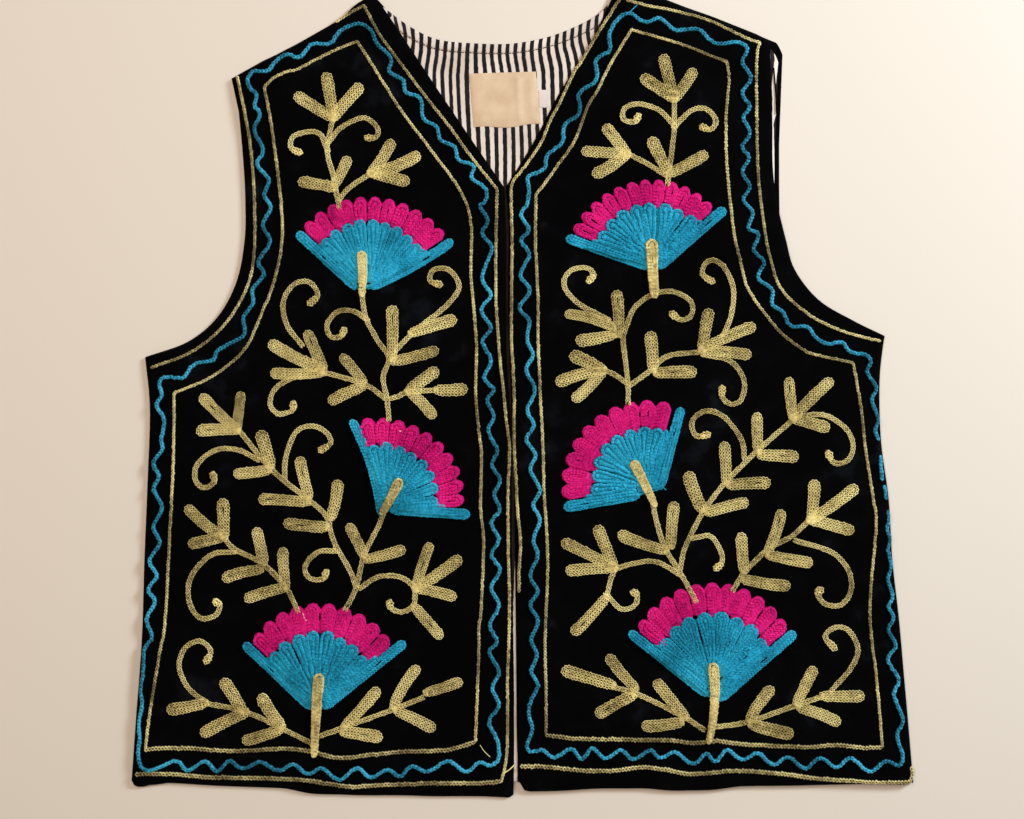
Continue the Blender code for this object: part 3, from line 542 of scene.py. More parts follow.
def to_mm(places):
    """Places in the photograph's pixels, as millimetres on top of the fronts."""
    places = np.asarray(places, float)
    x = CAMERA_AXIS[0] + (places[:, 0] - PHOTO_MIDDLE[0]) * PIXEL
    y = CAMERA_AXIS[1] - (places[:, 1] - PHOTO_MIDDLE[1]) * PIXEL
    return np.stack([x, y], 1)


def ease(t):
    """0 to 1 with level ends."""
    t = np.clip(t, 0.0, 1.0)
    return t * t * (3.0 - 2.0 * t)


def dip_at(table, parts):
    """The drop at each share of the way along, eased between the rows of the table."""
    drops = np.full(np.shape(parts), table[-1].drop)
    for low, high in reversed(list(zip(table, table[1:]))):
        inside = parts <= high.part
        value = low.drop + (high.drop - low.drop) * ease((parts - low.part) / (high.part - low.part))
        drops = np.where(inside, value, drops)
    return drops


def hermite(points, corners, index, t):
    """A point on the smooth line through points, which has a break at each index in corners."""
    a, b = points[index], points[index + 1]
    before = points[index - 1] if index > 0 and index not in corners else None
    after = points[index + 2] if index + 2 < len(points) and index + 1 not in corners else None
    tangent_a = (b - a) if before is None else (b - before) * 0.5
    tangent_b = (b - a) if after is None else (after - a) * 0.5
    t2, t3 = t * t, t * t * t
    return (a * (2 * t3 - 3 * t2 + 1) + tangent_a * (t3 - 2 * t2 + t)
            + b * (3 * t2 - 2 * t3) + tangent_b * (t3 - t2))


def row_places(lines, step):
    """Where the rows of a panel lie, as (interval, share): evenly spaced, with the turned ends added."""
    places = []
    count = len(lines[0]) - 1
    for index in range(count):
        span = max(np.linalg.norm(line[index + 1] - line[index]) for line in lines)
        steps = max(1, round(span / step))
        near = [d / span for d in EDGE_STEPS]
        clear = TURN_CLEAR / span
        shares = [k / steps for k in range(steps)]
        if index == 0:
            shares = [0.0, *near] + [s for s in shares if s > clear]
        if index == count - 1:
            shares = [s for s in shares if s < 1.0 - clear] + [1.0 - n for n in reversed(near)] + [1.0]
        places += [(index, share) for share in shares]
    return places


def column_shares(width, splits, stops):
    """Shares across a row: close together in the turned edges, even between the stops."""
    near = [d / width for d in EDGE_STEPS]
    marks = [near[-1], *stops, 1.0 - near[-1]]
    shares = [0.0, *near[:-1]]
    for low, high, steps in zip(marks, marks[1:], splits):
        shares += [low + (high - low) * k / steps for k in range(steps)]
    return np.array(shares + [1.0 - n for n in reversed(near)] + [1.0])


def edge_share(depth):
    """Share of the wall's thickness at a distance inside its edge."""
    return EDGE_PART + (1.0 - EDGE_PART) * np.sin(0.5 * math.pi * np.clip(depth / ROUND, 0.0, 1.0))


def crease_height(creases, x, y):
    """Height of the soft ridges and troughs at each point."""
    total = np.zeros_like(x)
    for crease in creases:
        start = np.array((crease.x0, crease.y0))
        run = np.array((crease.x1, crease.y1)) - start
        length = np.linalg.norm(run)
        along = ((x - start[0]) * run[0] + (y - start[1]) * run[1]) / length ** 2
        bend = CREASE_BOW * length * np.sin(math.pi * along)
        across = ((y - start[1]) * run[0] - (x - start[0]) * run[1]) / length - bend
        fade = ease(along / CREASE_FADE + 0.5) * ease((1.0 - along) / CREASE_FADE + 0.5)
        total += crease.height * np.exp(-(across / crease.width) ** 2) * fade
    return total


def grid_faces(rows, columns):
    """The faces between the points of a grid that is kept row by row."""
    grid = np.arange(rows * columns).reshape(rows, columns)
    return np.stack([grid[:-1, 1:], grid[1:, 1:], grid[1:, :-1], grid[:-1, :-1]], -1).reshape(-1, 4)


def raised(places, heights):
    """The points of a grid, from their places and their heights."""
    return np.concatenate([places, heights[..., None]], -1).reshape(-1, 3)


def shell(x, y, low, thick, depth):
    """Two grids of heights, closed by a rounded edge: the arrays of one thin cloth wall."""
    middle = low + 0.5 * thick[0, 0]
    rounding = np.sqrt(np.clip(1.0 - (1.0 - np.clip(depth / ROLL, 0.0, 1.0)) ** 2, 0.0, 1.0))
    high = middle + (low + thick - middle) * rounding
    under = middle - (middle - low) * rounding
    places = np.stack([x, y], -1)
    grid = np.arange(x.size).reshape(x.shape)
    rim = np.concatenate([grid[0, :], grid[1:, -1], grid[-1, -2::-1], grid[-2:0:-1, 0]])
    after = np.roll(rim, -1)
    walls = np.stack([after, rim, rim + x.size, after + x.size], 1)
    # Rolled by one corner, which splits each face along its other diagonal
    top = np.roll(grid_faces(*x.shape), 1, axis=1)
    return (np.concatenate([raised(places, high), raised(places, under)]),
            np.concatenate([top, top[:, ::-1] + x.size, walls]))


def mesh_object(name, verts, faces, uv=None, kinds=None):
    """One mesh piece from points in millimetres."""
    mesh = bpy.data.meshes.new(name)
    mesh.from_pydata((np.asarray(verts) * MM).tolist(), [], [list(face) for face in faces])
    if uv is not None:
        layer = mesh.uv_layers.new(name="UVMap")
        loops = np.zeros(len(mesh.loops), np.int32)
        mesh.loops.foreach_get("vertex_index", loops)
        layer.data.foreach_set("uv", np.asarray(uv, np.float32)[loops].ravel())
    if kinds is not None:
        mesh.polygons.foreach_set("material_index", np.asarray(kinds, np.int32))
    mesh.polygons.foreach_set("use_smooth", np.full(len(mesh.polygons), True))
    mesh.update()
    thing = bpy.data.objects.new(name, mesh)
    bpy.context.scene.collection.objects.link(thing)
    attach(thing, "root")
    return thing


def front_arrays(front):
    """Grids of x, y, underside, thickness and depth inside the edge, of one front."""
    centre = [np.array((s.centre_x, s.centre_y)) for s in front.table]
    side = [np.array((s.side_x, s.side_y)) for s in front.table]
    centre_corners = {k for k, s in enumerate(front.table) if s.corner == "centre"}
    side_corners = {k for k, s in enumerate(front.table) if s.corner == "side"}
    underarm = min(side_corners)
    places = row_places((centre, side), FRONT_STEP)
    edges = [(hermite(centre, centre_corners, *p), hermite(side, side_corners, *p)) for p in places]
    up = [0.0]
    for (a0, b0), (a1, b1) in zip(edges, edges[1:]):
        up.append(up[-1] + 0.5 * (np.linalg.norm(a1 - a0) + np.linalg.norm(b1 - b0)))
    xs, ys, lows, insides = [], [], [], []
    for (index, share), (inner, outer), height in zip(places, edges, up):
        width = np.linalg.norm(outer - inner)
        parts = column_shares(width, (FRONT_COLUMNS,), ())
        x = inner[0] + (outer[0] - inner[0]) * parts
        y = inner[1] + (outer[1] - inner[1]) * parts
        to_hem, to_shoulder = height, up[-1] - height
        y = y - dip_at(front.hem, parts) * ease(1.0 - to_hem / HEM_FADE)
        y = y - dip_at(front.shoulder, parts) * ease(1.0 - to_shoulder / HEM_FADE)
        to_centre, to_side = parts * width, (1.0 - parts) * width
        seams = to_shoulder + ROUND * ease(1.0 - to_centre / NECK_FADE)
        if index < underarm or front.falls:
            seams = np.minimum(seams, to_side)
        if front.falls:
            seams = np.minimum(seams, to_hem)
        rest = SEAM_FALL + (FRONT_REST - SEAM_FALL) * ease(seams / ROUND)
        inside = np.minimum(np.minimum(to_centre, to_side), min(to_hem, to_shoulder))
        run = (x + BILLOW_SLANT * y) / BILLOW_ACROSS
        climb = (y - BILLOW_SLANT * x) / BILLOW_ALONG
        swell = (2.0 + np.sin(math.tau * run) + np.sin(math.tau * climb)) / 4.0
        xs.append(x)
        ys.append(y)
        lows.append(rest + BILLOW * swell * ease((inside - ROUND) / BILLOW_FADE))
        insides.append(inside)
    x, y, low, inside = (np.array(v) for v in (xs, ys, lows, insides))
    thick = VELVET * edge_share(inside)
    thick = thick + crease_height(front.creases, x, y) * ease((inside - CREASE_FROM) / CREASE_RUN)
    thick = np.maximum(thick, EDGE_PART * VELVET)
    return x, y, low, thick, inside


def top_edge(part, roll, inset):
    """A point of the back's top edge at a share of the way across: shoulder, neck, shoulder."""
    first, last = NECK_SHARE
    neck = [np.array(n) for n in BACK_NECK]
    if first < part < last:
        place = (part - first) / (last - first) * (len(neck) - 1)
        index = min(int(place), len(neck) - 2)
        point = hermite(neck, set(), index, place - index)
        to_end = min(np.linalg.norm(point - neck[0]), np.linalg.norm(point - neck[-1]))
        point[1] -= roll + NECK_PULL * inset * ease(1.0 - to_end / NECK_EASE)
        return point
    if part <= first:
        neck_point, shoulder, share = neck[0], np.array(BACK_SHOULDER_LEFT), 1.0 - part / first
    else:
        neck_point, shoulder, share = neck[-1], np.array(BACK_SHOULDER_RIGHT), (part - last) / (1.0 - last)
    point = neck_point + (shoulder - neck_point) * share
    if part > last:
        near = max(0.0, 1.0 - np.linalg.norm(shoulder - point) / SHOULDER_ROUND)
        point[1] -= SHOULDER_DROP * near ** 2
    aside = -BACK[-1].lining_right if part > last else BACK[-1].lining_left
    point[0] += aside * share * min(inset, 1.0)
    pull = NECK_PULL + (1.0 - NECK_PULL) * ease(np.linalg.norm(point - neck_point) / SHOULDER_EASE)
    point[1] -= inset * pull
    return point


def back_arrays(split, step, insets, hem_inset, roll, shoulder_inset):
    """Grids of x, y and depth inside the edge, of the back or of its inset lining."""
    left = [np.array((row.left_x + row.lining_left * insets, row.left_y)) for row in BACK]
    right = [np.array((row.right_x - row.lining_right * insets, row.right_y)) for row in BACK]
    corners = {k for k, row in enumerate(BACK) if row.corner}
    last_span = len(BACK) - 2
    places = [p for p in row_places((left, right), step) if sum(p) < last_span + LAST_ROW]
    places.append((last_span, 1.0))
    rows = []
    up = 0.0
    before = left[0]
    for place in places:
        a, b = hermite(left, corners, *place), hermite(right, corners, *place)
        up += np.linalg.norm(a - before)
        before = a
        width = np.linalg.norm(b - a)
        parts = column_shares(width, split, NECK_SHARE)
        x = a[0] + (b[0] - a[0]) * parts
        y = a[1] + (b[1] - a[1]) * parts + (hem_inset - dip_at(BACK_HEM, parts)) * ease(1.0 - up / HEM_FADE)
        rows.append((x, y, np.minimum(up, np.minimum(parts, 1.0 - parts) * width)))
    x0, y0, _ = rows[-1]
    width = x0[-1] - x0[0]
    parts = column_shares(width, split, NECK_SHARE)
    tops = np.array([top_edge(part, roll, shoulder_inset) for part in parts])
    reach = np.hypot(tops[:, 0] - x0, tops[:, 1] - y0)
    height = reach[0]
    steps = max(2, round(height / step))
    marks = [k / steps for k in range(1, steps) if height * (1.0 - k / steps) > TURN_CLEAR]
    marks += [1.0 - d / height for d in reversed(EDGE_STEPS)] + [1.0]
    for mark in marks:
        x = x0 + (tops[:, 0] - x0) * mark
        y = y0 + (tops[:, 1] - y0) * mark
        rows.append((x, y, np.minimum(np.minimum(parts, 1.0 - parts) * width, (1.0 - mark) * reach)))
    return tuple(np.array([row[k] for row in rows]) for k in range(3))


class Ground:
    """The top of what stitches lie on, found by looking straight down at it."""

    # From this height in millimetres, and with slopes no steeper than where the normal rises by this share
    above = 100.0
    steepest = 0.35

    def __init__(self, *layers):
        self.trees = [BVHTree.FromPolygons([tuple(v) for v in verts], [tuple(f) for f in faces])
                      for verts, faces in layers]

    def at(self, points):
        """Heights and slopes at points, in millimetres."""
        heights = np.full(len(points), FRONT_REST)
        slopes = np.zeros((len(points), 2))
        down = Vector((0.0, 0.0, -1.0))
        for k, (x, y) in enumerate(points):
            for tree in self.trees:
                hit, normal, *_ = tree.ray_cast(Vector((x, y, self.above)), down)
                if hit is not None and hit.z > heights[k]:
                    heights[k] = hit.z
                    flat = max(abs(normal.z), self.steepest)
                    turn = 1.0 if normal.z > 0.0 else -1.0
                    slopes[k] = (-turn * normal.x / flat, -turn * normal.y / flat)
        return heights, slopes


def smooth_path(points, step=1.0):
    """A smooth line through points, as close points."""
    points = [np.array(p, float) for p in points]
    found = []
    for index in range(len(points) - 1):
        span = np.linalg.norm(points[index + 1] - points[index])
        steps = max(2, round(span / step))
        found += [hermite(points, set(), index, k / steps) for k in range(steps)]
    return np.array(found + [points[-1]])


def sides_of(path):
    """The directions square to a path, to its left, at each of its points."""
    along = np.gradient(path, axis=0)
    along /= np.maximum(np.linalg.norm(along, axis=1, keepdims=True), TINY)
    return np.stack([-along[:, 1], along[:, 0]], 1)


def beside(path, offset):
    """The line at a distance to the left of a path."""
    return path + sides_of(path) * offset


def aim(start, end):
    """How far one point is from another, the direction to it, and the direction to the left of that."""
    step = np.subtract(end, start)
    length = np.linalg.norm(step)
    along = step / length
    return length, along, np.array((-along[1], along[0]))


def ray(angle):
    """The direction at an angle."""
    return np.array((math.cos(angle), math.sin(angle)))


def distances(path):
    """How far along a path each of its points lies."""
    return np.concatenate([[0.0], np.cumsum(np.linalg.norm(np.diff(path, axis=0), axis=1))])


def points_at(path, run, marks):
    """The points of a path at these distances along it."""
    return np.stack([np.interp(marks, run, path[:, k]) for k in range(2)], 1)


def tube(path, heights, radius, turns):
    """A thin tube along a path at these heights, with its corners at these turns: points and faces."""
    sides = sides_of(path)
    rings = [np.column_stack([path + sides * math.cos(turn) * radius, heights + math.sin(turn) * radius])
             for turn in turns]
    first = np.arange(len(turns))
    after = np.roll(first, -1)
    ring = np.stack([first, first + len(turns), after + len(turns), after], 1)
    faces = ring[None] + len(turns) * np.arange(len(path) - 1)[:, None, None]
    return np.stack(rings, 1).reshape(-1, 3), faces.reshape(-1, 4)


def link_shape(pitch, width, yarn, neck):
    """One open loop of a chain, lying along +X from 0 to its pitch: points and faces.

    The neck is how wide the loop still is where it comes out of the loop before it.
    """
    # Along by the pitch, across by half the loop's width, up by the yarn's radius
    path = np.array((
        (-0.2, -0.1, -0.9), (0.3, -neck, -0.3), (0.72, -1.0, 0.35), (1.12, 0.0, 0.9),
        (0.72, 1.0, 0.35), (0.3, neck, -0.3), (-0.2, 0.1, -0.9),
    )) * (pitch, (width - 2.0 * yarn) / 2.0, yarn)
    return tube(path[:, :2], path[:, 2], yarn * LINK_ROUND, LINK_TURNS)


class Yarn:
    """Chain stitches, and the padding under them, gathered into one mesh."""

    def __init__(self, name, ground, seed):
        self.name = name
        self.ground = ground
        self.draw = np.random.default_rng(seed)
        self.verts, self.faces, self.kinds = [], [], []
        self.count = 0

    def add(self, verts, faces, kind):
        """Keep more points and faces, all of one kind."""
        self.verts.append(verts)
        self.faces.append(np.asarray(faces) + self.count)
        self.kinds.append(np.full(len(faces), kind))
        self.count += len(verts)

    def chain(self, path, width, lift, fill=FILL, pitch=PITCH, neck=NECK):
        """A row of links along a path of close points: fill is the yarn's radius as a share of the width."""
        yarn = width * fill
        run = distances(path)
        if run[-1] < 0.5 * pitch:
            return
        count = max(1, round(run[-1] / pitch))
        stops = points_at(path, run, np.linspace(0.0, run[-1], count + 1))
        start, step = stops[:-1], np.diff(stops, axis=0)
        length = np.maximum(np.linalg.norm(step, axis=1), SHORTEST_LINK)
        angle = np.arctan2(step[:, 1], step[:, 0]) + self.draw.normal(0.0, TURN_DRAW, count)
        aside = self.draw.normal(0.0, ASIDE_DRAW * width, count)[:, None] / length[:, None]
        start = start + np.stack([-step[:, 1], step[:, 0]], 1) * aside
        heights, slopes = self.ground.at(start + step * 0.5)
        shape, faces = link_shape(pitch, width, yarn, neck)
        wide = 1.0 + self.draw.normal(0.0, WIDTH_DRAW, count)
        raise_by = lift + yarn * LINK_SEAT + self.draw.normal(0.0, LIFT_DRAW, count)
        along = shape[None, :, 0] * (length / pitch)[:, None]
        across = shape[None, :, 1] * wide[:, None]
        c, s = np.cos(angle)[:, None], np.sin(angle)[:, None]
        dx, dy = along * c - across * s, along * s + across * c
        x, y = start[:, :1] + dx, start[:, 1:] + dy
        tilt = slopes[:, :1] * (dx - step[:, :1] / 2) + slopes[:, 1:] * (dy - step[:, 1:] / 2)
        z = shape[None, :, 2] + (heights + raise_by)[:, None] + tilt
        faces = faces[None] + (np.arange(count) * len(shape))[:, None, None]
        self.add(np.stack([x, y, z], -1).reshape(-1, 3), faces.reshape(-1, 4), STITCHES)

    def plate(self, middles, sides, halves, lift, thick, kind=PADDING):
        """Padding under stitches, or the velvet in a slit between them: a low dome along a line."""
        points = middles[:, None, :] + sides[:, None, :] * (halves[:, None] * DOME_AT)[..., None]
        heights, _ = self.ground.at(points.reshape(-1, 2))
        heights = heights.reshape(points.shape[:2]) + lift + DOME_RISE * thick
        heights[[0, -1]] -= thick
        self.add(raised(points, heights), grid_faces(*heights.shape), kind)

    def stem(self, path, lift):
        """Two rows side by side, with padding under them."""
        sides = sides_of(path)
        some = path[::STEM_PICK]
        halves = np.full(len(some), STEM_HALF - PADDING_INSET)
        self.plate(some, sides[::STEM_PICK], halves, lift, STEM_PADDING)
        for offset in (-0.5 * STEM_HALF, 0.5 * STEM_HALF):
            self.chain(path + sides * offset, STEM_HALF * STEM_WIDE, lift + STEM_RISE, STEM_FILL)

    def slit(self, start, end, half, lift):
        """A narrow opening between rows, where the velvet shows."""
        marks = np.linspace(0.0, 1.0, SLIT_STEPS)
        side = np.tile(aim(start, end)[2], (len(marks), 1))
        halves = half * np.sqrt(np.clip(1.0 - (2.0 * marks - 1.0) ** 2, SLIT_TIP, 1.0))
        self.plate(start + np.outer(marks, end - start), side, halves, lift, SLIT_DEEP, OPENING)

    def finger(self, base, tip, half_base, half_tip, look, bend=None):
        """A leaf or petal, filled with rows that run up one side, round its tip and down the other."""
        length, along, side = aim(base, tip)
        half_tip = min(half_tip, length * FATTEST)
        if bend is None:
            bend = self.draw.normal(0.0, BEND_DRAW) * length
        round_at = length - half_tip
        open_at, open_half = 0.0, 0.0
        if self.draw.random() < look.slits:
            open_at, open_half = self.draw.uniform(*SLIT_AT), self.draw.uniform(*SLIT_HALF)

        def half_at(s):
            return half_base + (half_tip - half_base) * np.clip(s / round_at, 0.0, 1.0)

        def foot_at(s):
            return FOOT_SHARE + (1.0 - FOOT_SHARE) * ease(s / (FOOT_RUN * half_base))

        def place(s, h):
            bow = bend * np.sin(math.pi * np.clip(s / length, 0.0, 1.0))
            return base + np.outer(s, along) + np.outer(h + bow, side)

        s = np.linspace(0.0, round_at, max(3, round(length / PADDING_STEP)))
        marks = np.concatenate([s, round_at + half_tip * np.sin(CAP_TURNS)])
        halves = np.concatenate([half_at(s) * foot_at(s), half_tip * np.cos(CAP_TURNS)])
        halves = np.maximum(halves - PADDING_INSET, THINNEST)
        self.plate(place(marks, 0.0), np.tile(side, (len(marks), 1)), halves, look.lift, look.dome)
        loops = max(1, round(half_tip / ROW))
        row = half_tip / loops
        s = np.arange(0.0, round_at, PATH_STEP)
        turn = np.linspace(-math.pi / 2, math.pi / 2, CAP_STEPS)
        for k in range(loops):
            share = (k + 0.5) / loops
            tight = look.fill * self.draw.uniform(*TIGHT)
            rise = look.lift + look.dome * (ROW_SEAT + 0.5 * share)
            if half_base > EVEN_FROM * half_tip:
                paired = s
                h = half_at(s) * (1.0 - share) * foot_at(s)
            else:
                left = half_at(s) - k * row
                single = s[(left > SINGLE_FROM * row) & (left < PAIR_FROM * row)]
                if len(single) > 1:
                    self.chain(place(single, 0.0), row * SINGLE_WIDE, rise, tight)
                paired = s[left >= PAIR_FROM * row]
                h = half_at(paired) - (k + 0.5) * row
            if k == loops - 1:
                h = h + open_half * np.exp(-((paired / length - open_at) * length / SLIT_RUN) ** 2)
            radius = half_tip - (k + 0.5) * row
            cap = place(round_at + radius * np.cos(turn), radius * np.sin(turn))
            path = np.concatenate([place(paired, -h), cap, place(paired[::-1], h[::-1])])
            self.chain(path, row * ROW_WIDE, rise, tight)
        if open_half > 0.0:
            reach = min(SLIT_REACH / length, SLIT_SHARE)
            ends = np.array((open_at - reach, min(open_at + reach, round_at / length))) * length
            self.slit(*place(ends, 0.0), open_half + SLIT_OVER, look.lift + look.dome + SLIT_RISE)

    def strand(self, path, radius, lift):
        """A loose end of yarn lying on the cloth."""
        heights, _ = self.ground.at(path)
        self.add(*tube(path, heights + lift, radius, STRAND_TURNS), STITCHES)

    def build(self, yarn_material, shaded_padding_material, slot):
        """The mesh piece, with a material for each kind of face."""
        verts = np.concatenate(self.verts)
        faces = [face for block in self.faces for face in block.tolist()]
        piece = mesh_object(self.name, verts, faces, kinds=np.concatenate(self.kinds))
        # Padding faces get a darker copy of the yarn, which is painted shade between the rows
        for material in (yarn_material, shaded_padding_material, velvet):
            piece.data.materials.append(material)
        return piece


class Nodes:
    """A material's node tree, built up by short calls."""

    def __init__(self, name):
        self.material = bpy.data.materials.new(name)
        self.material.use_nodes = True
        self.tree = self.material.node_tree
        self.shader = self.tree.nodes["Principled BSDF"]
        self.place = self.tree.nodes.new("ShaderNodeTexCoord").outputs["Object"]

    def feed(self, socket, value):
        """Give a socket a number, a vector, a colour or what another node puts out."""
        if isinstance(value, bpy.types.NodeSocket):
            self.tree.links.new(value, socket)
        else:
            socket.default_value = (*value, 1.0) if socket.type == "RGBA" else value

    def node(self, kind, output, **inputs):
        """A new node with these inputs: what it puts out."""
        node = self.tree.nodes.new("ShaderNode" + kind)
        for name, value in inputs.items():
            self.feed(node.inputs[name], value)
        return node.outputs[output]

    def noise(self, scale, detail, stretch=None):
        """Noise in the garment's own space, stretched where asked for."""
        place = self.node("Mapping", "Vector", Vector=self.place, Scale=stretch) if stretch else self.place
        return self.node("TexNoise", "Fac", Vector=place, Scale=scale, Detail=detail)

    def weave(self, scale, stretch):
        """Threads both ways."""
        threads = [self.noise(scale, 1.0, by) for by in ((1.0, stretch, 1.0), (stretch, 1.0, 1.0))]
        return self.math("ADD", *threads)

    def ramp(self, source, *stops):
        """Colours by the value of a source."""
        colour = self.node("ValToRGB", "Color", Fac=source)
        elements = colour.node.color_ramp.elements
        while len(elements) < len(stops):
            elements.new(0.5)
        for element, (place, shade) in zip(elements, stops):
            element.position = place
            element.color = (*shade, 1.0)
        return colour

    def math(self, operation, *values):
        """A sum of two values, or the like."""
        node = self.tree.nodes.new("ShaderNodeMath")
        node.operation = operation
        for socket, value in zip(node.inputs, values):
            self.feed(socket, value)
        return node.outputs["Value"]

    def bump(self, height, distance, strength):
        """Fine relief of the surface: the distance is in millimetres."""
        normal = self.node("Bump", "Normal", Height=height, Distance=distance * MM, Strength=strength)
        self.feed(self.shader.inputs["Normal"], normal)

    def finish(self, colour, roughness, sheen=0.0, tint=(1.0, 1.0, 1.0), spread=0.4, specular=0.3):
        """Set the shader, and hand back the material: tint and spread are those of the sheen."""
        names = ("Base Color", "Roughness", "Sheen Weight", "Sheen Tint", "Sheen Roughness",
                 "Specular IOR Level")
        for name, value in zip(names, (colour, roughness, sheen, tint, spread, specular)):
            self.feed(self.shader.inputs[name], value)
        return self.material


def velvet_material():
    """Short black pile, with lighter bluish smudges scattered at random that stand in for the pile's sheen:
    painted sheen.
    """
    nodes = Nodes("black_velvet")
    shade = nodes.math("MULTIPLY", nodes.noise(11.0, 4.0), nodes.noise(60.0, 5.0))
    # The lighter bluish end of this ramp is painted sheen of the pile
    colour = nodes.ramp(shade, (0.22, (0.0005, 0.0005, 0.0007)), (0.34, (0.0011, 0.0011, 0.0016)),
                        (0.46, (0.0042, 0.005, 0.0075)))
    pile = nodes.math("ADD", nodes.noise(1400.0, 2.0), nodes.math("MULTIPLY", nodes.noise(320.0, 3.0), 0.8))
    nodes.bump(pile, 0.16, 0.8)
    return nodes.finish(colour, 0.95, sheen=0.008, tint=(0.8, 0.85, 1.0), spread=0.45, specular=0.03)


def yarn_material(name, dark, middle, light, sheen, spread=0.14):
    """Spun yarn: its shade drifts slowly along the work and quickly from stitch to stitch."""
    nodes = Nodes(name)
    drift, fleck = nodes.noise(38.0, 3.0), nodes.noise(420.0, 2.0)
    shade = nodes.math("ADD", nodes.math("MULTIPLY", drift, 0.55), nodes.math("MULTIPLY", fleck, 0.45))
    colour = nodes.ramp(shade, (0.5 - spread, dark), (0.5, middle), (0.5 + spread, light))
    nodes.bump(nodes.noise(2600.0, 3.0), 0.10, 0.7)
    return nodes.finish(colour, 0.8, sheen=sheen, spread=0.5, specular=0.08)


def lining_material():
    """Cream-white cotton with woven black stripes: the first map axis counts stripes."""
    nodes = Nodes("striped_cotton")
    uv = nodes.tree.nodes.new("ShaderNodeUVMap")
    uv.uv_map = "UVMap"
    across = nodes.node("SeparateXYZ", "X", Vector=uv.outputs["UV"])
    waver = nodes.math("SUBTRACT", nodes.noise(700.0, 2.0, (1.0, 0.35, 1.0)), 0.5)
    place = nodes.math("FRACT", nodes.math("ADD", across, nodes.math("MULTIPLY", waver, 0.16)))
    away = nodes.math("ABSOLUTE", nodes.math("SUBTRACT", place, 0.5))
    tone = nodes.ramp(nodes.noise(30.0, 3.0), (0.35, (0.54, 0.46, 0.42)), (0.65, (0.70, 0.63, 0.59)))
    ink = nodes.ramp(nodes.noise(90.0, 2.0), (0.3, (0.006, 0.0045, 0.0055)), (0.7, (0.015, 0.011, 0.013)))
    mask = nodes.ramp(away, (0.23, (0.0, 0.0, 0.0)), (0.275, (1.0, 1.0, 1.0)))
    mix = nodes.tree.nodes.new("ShaderNodeMix")
    mix.data_type = "RGBA"
    for k, value in ((0, nodes.node("SeparateColor", "Red", Color=mask)), (6, ink), (7, tone)):
        nodes.feed(mix.inputs[k], value)
    nodes.bump(nodes.weave(2200.0, 0.25), 0.08, 0.7)
    return nodes.finish(mix.outputs[2], 0.86, sheen=0.05, specular=0.12)


def tape_material(name, low, high):
    """Bare woven tape."""
    nodes = Nodes(name)
    tone = nodes.ramp(nodes.noise(60.0, 3.0), (0.3, low), (0.7, high))
    nodes.bump(nodes.weave(1500.0, 0.2), 0.07, 0.7)
    return nodes.finish(tone, 0.7, sheen=0.1)


def radius_at(radii, share):
    """The radius at a share of the way from the right end of an arc to its left end."""
    end = radii.right if share < 0.5 else radii.left
    return radii.middle + (end - radii.middle) * (2.0 * share - 1.0) ** 2


def wing_angle(centre, wing, offset, radius):
    """Angle about the centre where a line beside the wing crosses a circle of this radius."""
    foot = Vector(wing.foot)
    along = (Vector(wing.tip) - foot).normalized()
    start = foot + Vector((-along.y, along.x)) * offset - Vector(centre)
    ahead = start.dot(along)
    reach = math.sqrt(max(0.0, ahead ** 2 - start.length_squared + radius ** 2)) - ahead
    point = start + along * reach
    return math.atan2(point.y, point.x)


def arc_ends(flower, radii):
    """The angles about the flower's middle from its right wing to its left one."""
    start = wing_angle(flower.centre, flower.right, flower.right.half, radii.right)
    end = wing_angle(flower.centre, flower.left, -flower.left.half, radii.left)
    return start, (end + math.tau if end < start else end)


def petals(yarn, flower, radii, root_at, count, overlap, look):
    """Fingers side by side round the flower's middle, from its right wing to its left one."""
    centre = np.array(flower.centre)
    start, end = arc_ends(flower, radii)
    step = (end - start) / count
    for k in range(count):
        share = (k + 0.5) / count
        angle = start + (end - start) * share + yarn.draw.normal(0.0, PETAL_TURN_DRAW)
        reach = radius_at(radii, share) + PETAL_OVER + yarn.draw.normal(0.0, PETAL_REACH_DRAW)
        root = root_at(share)
        out = ray(angle)
        half_root = max(NARROWEST_ROOT, 0.5 * step * root * overlap)
        half_tip = 0.5 * step * (reach - PETAL_CAP) * overlap
        yarn.finger(centre + out * root, centre + out * reach, half_root, half_tip, look)
        if k > 0:
            out = ray(angle - 0.5 * step)
            inner = root + (reach - root) * yarn.draw.uniform(*BETWEEN)
            outer = reach - half_tip - 0.5
            if outer > inner + SHORTEST_BETWEEN:
                yarn.slit(centre + out * inner, centre + out * outer, BETWEEN_HALF, look.lift + look.dome)


def flower_plate(yarn, node, creases, shown=True):
    """The solid's own plate, raised with the creases of its front: a crown shows it as padding."""
    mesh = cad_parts[node].data
    verts = np.array([tuple(v.co) for v in mesh.vertices]) / MM
    verts[:, 2] += crease_height(creases, verts[:, 0], verts[:, 1])
    faces = np.array([tuple(p.vertices) for p in mesh.polygons])
    if shown:
        yarn.add(verts, faces, PADDING)
    return verts, faces


def fan_padding(yarn, flower):
    """A thin sector under the lobes of a fan."""
    start, end = arc_ends(flower, flower.fan)
    shares = np.linspace(0.0, 1.0, SECTOR_STEPS)
    angles = (start + (end - start) * shares)[:, None]
    reach = np.array([radius_at(flower.fan, share) - SECTOR_INSET for share in shares])
    rings = np.outer(reach, SECTOR_AT)
    points = np.array(flower.centre) + np.stack([np.cos(angles) * rings, np.sin(angles) * rings], -1)
    heights, _ = yarn.ground.at(points.reshape(-1, 2))
    heights = heights.reshape(rings.shape) + SECTOR_LIFT
    yarn.add(raised(points, heights), grid_faces(*rings.shape), PADDING)


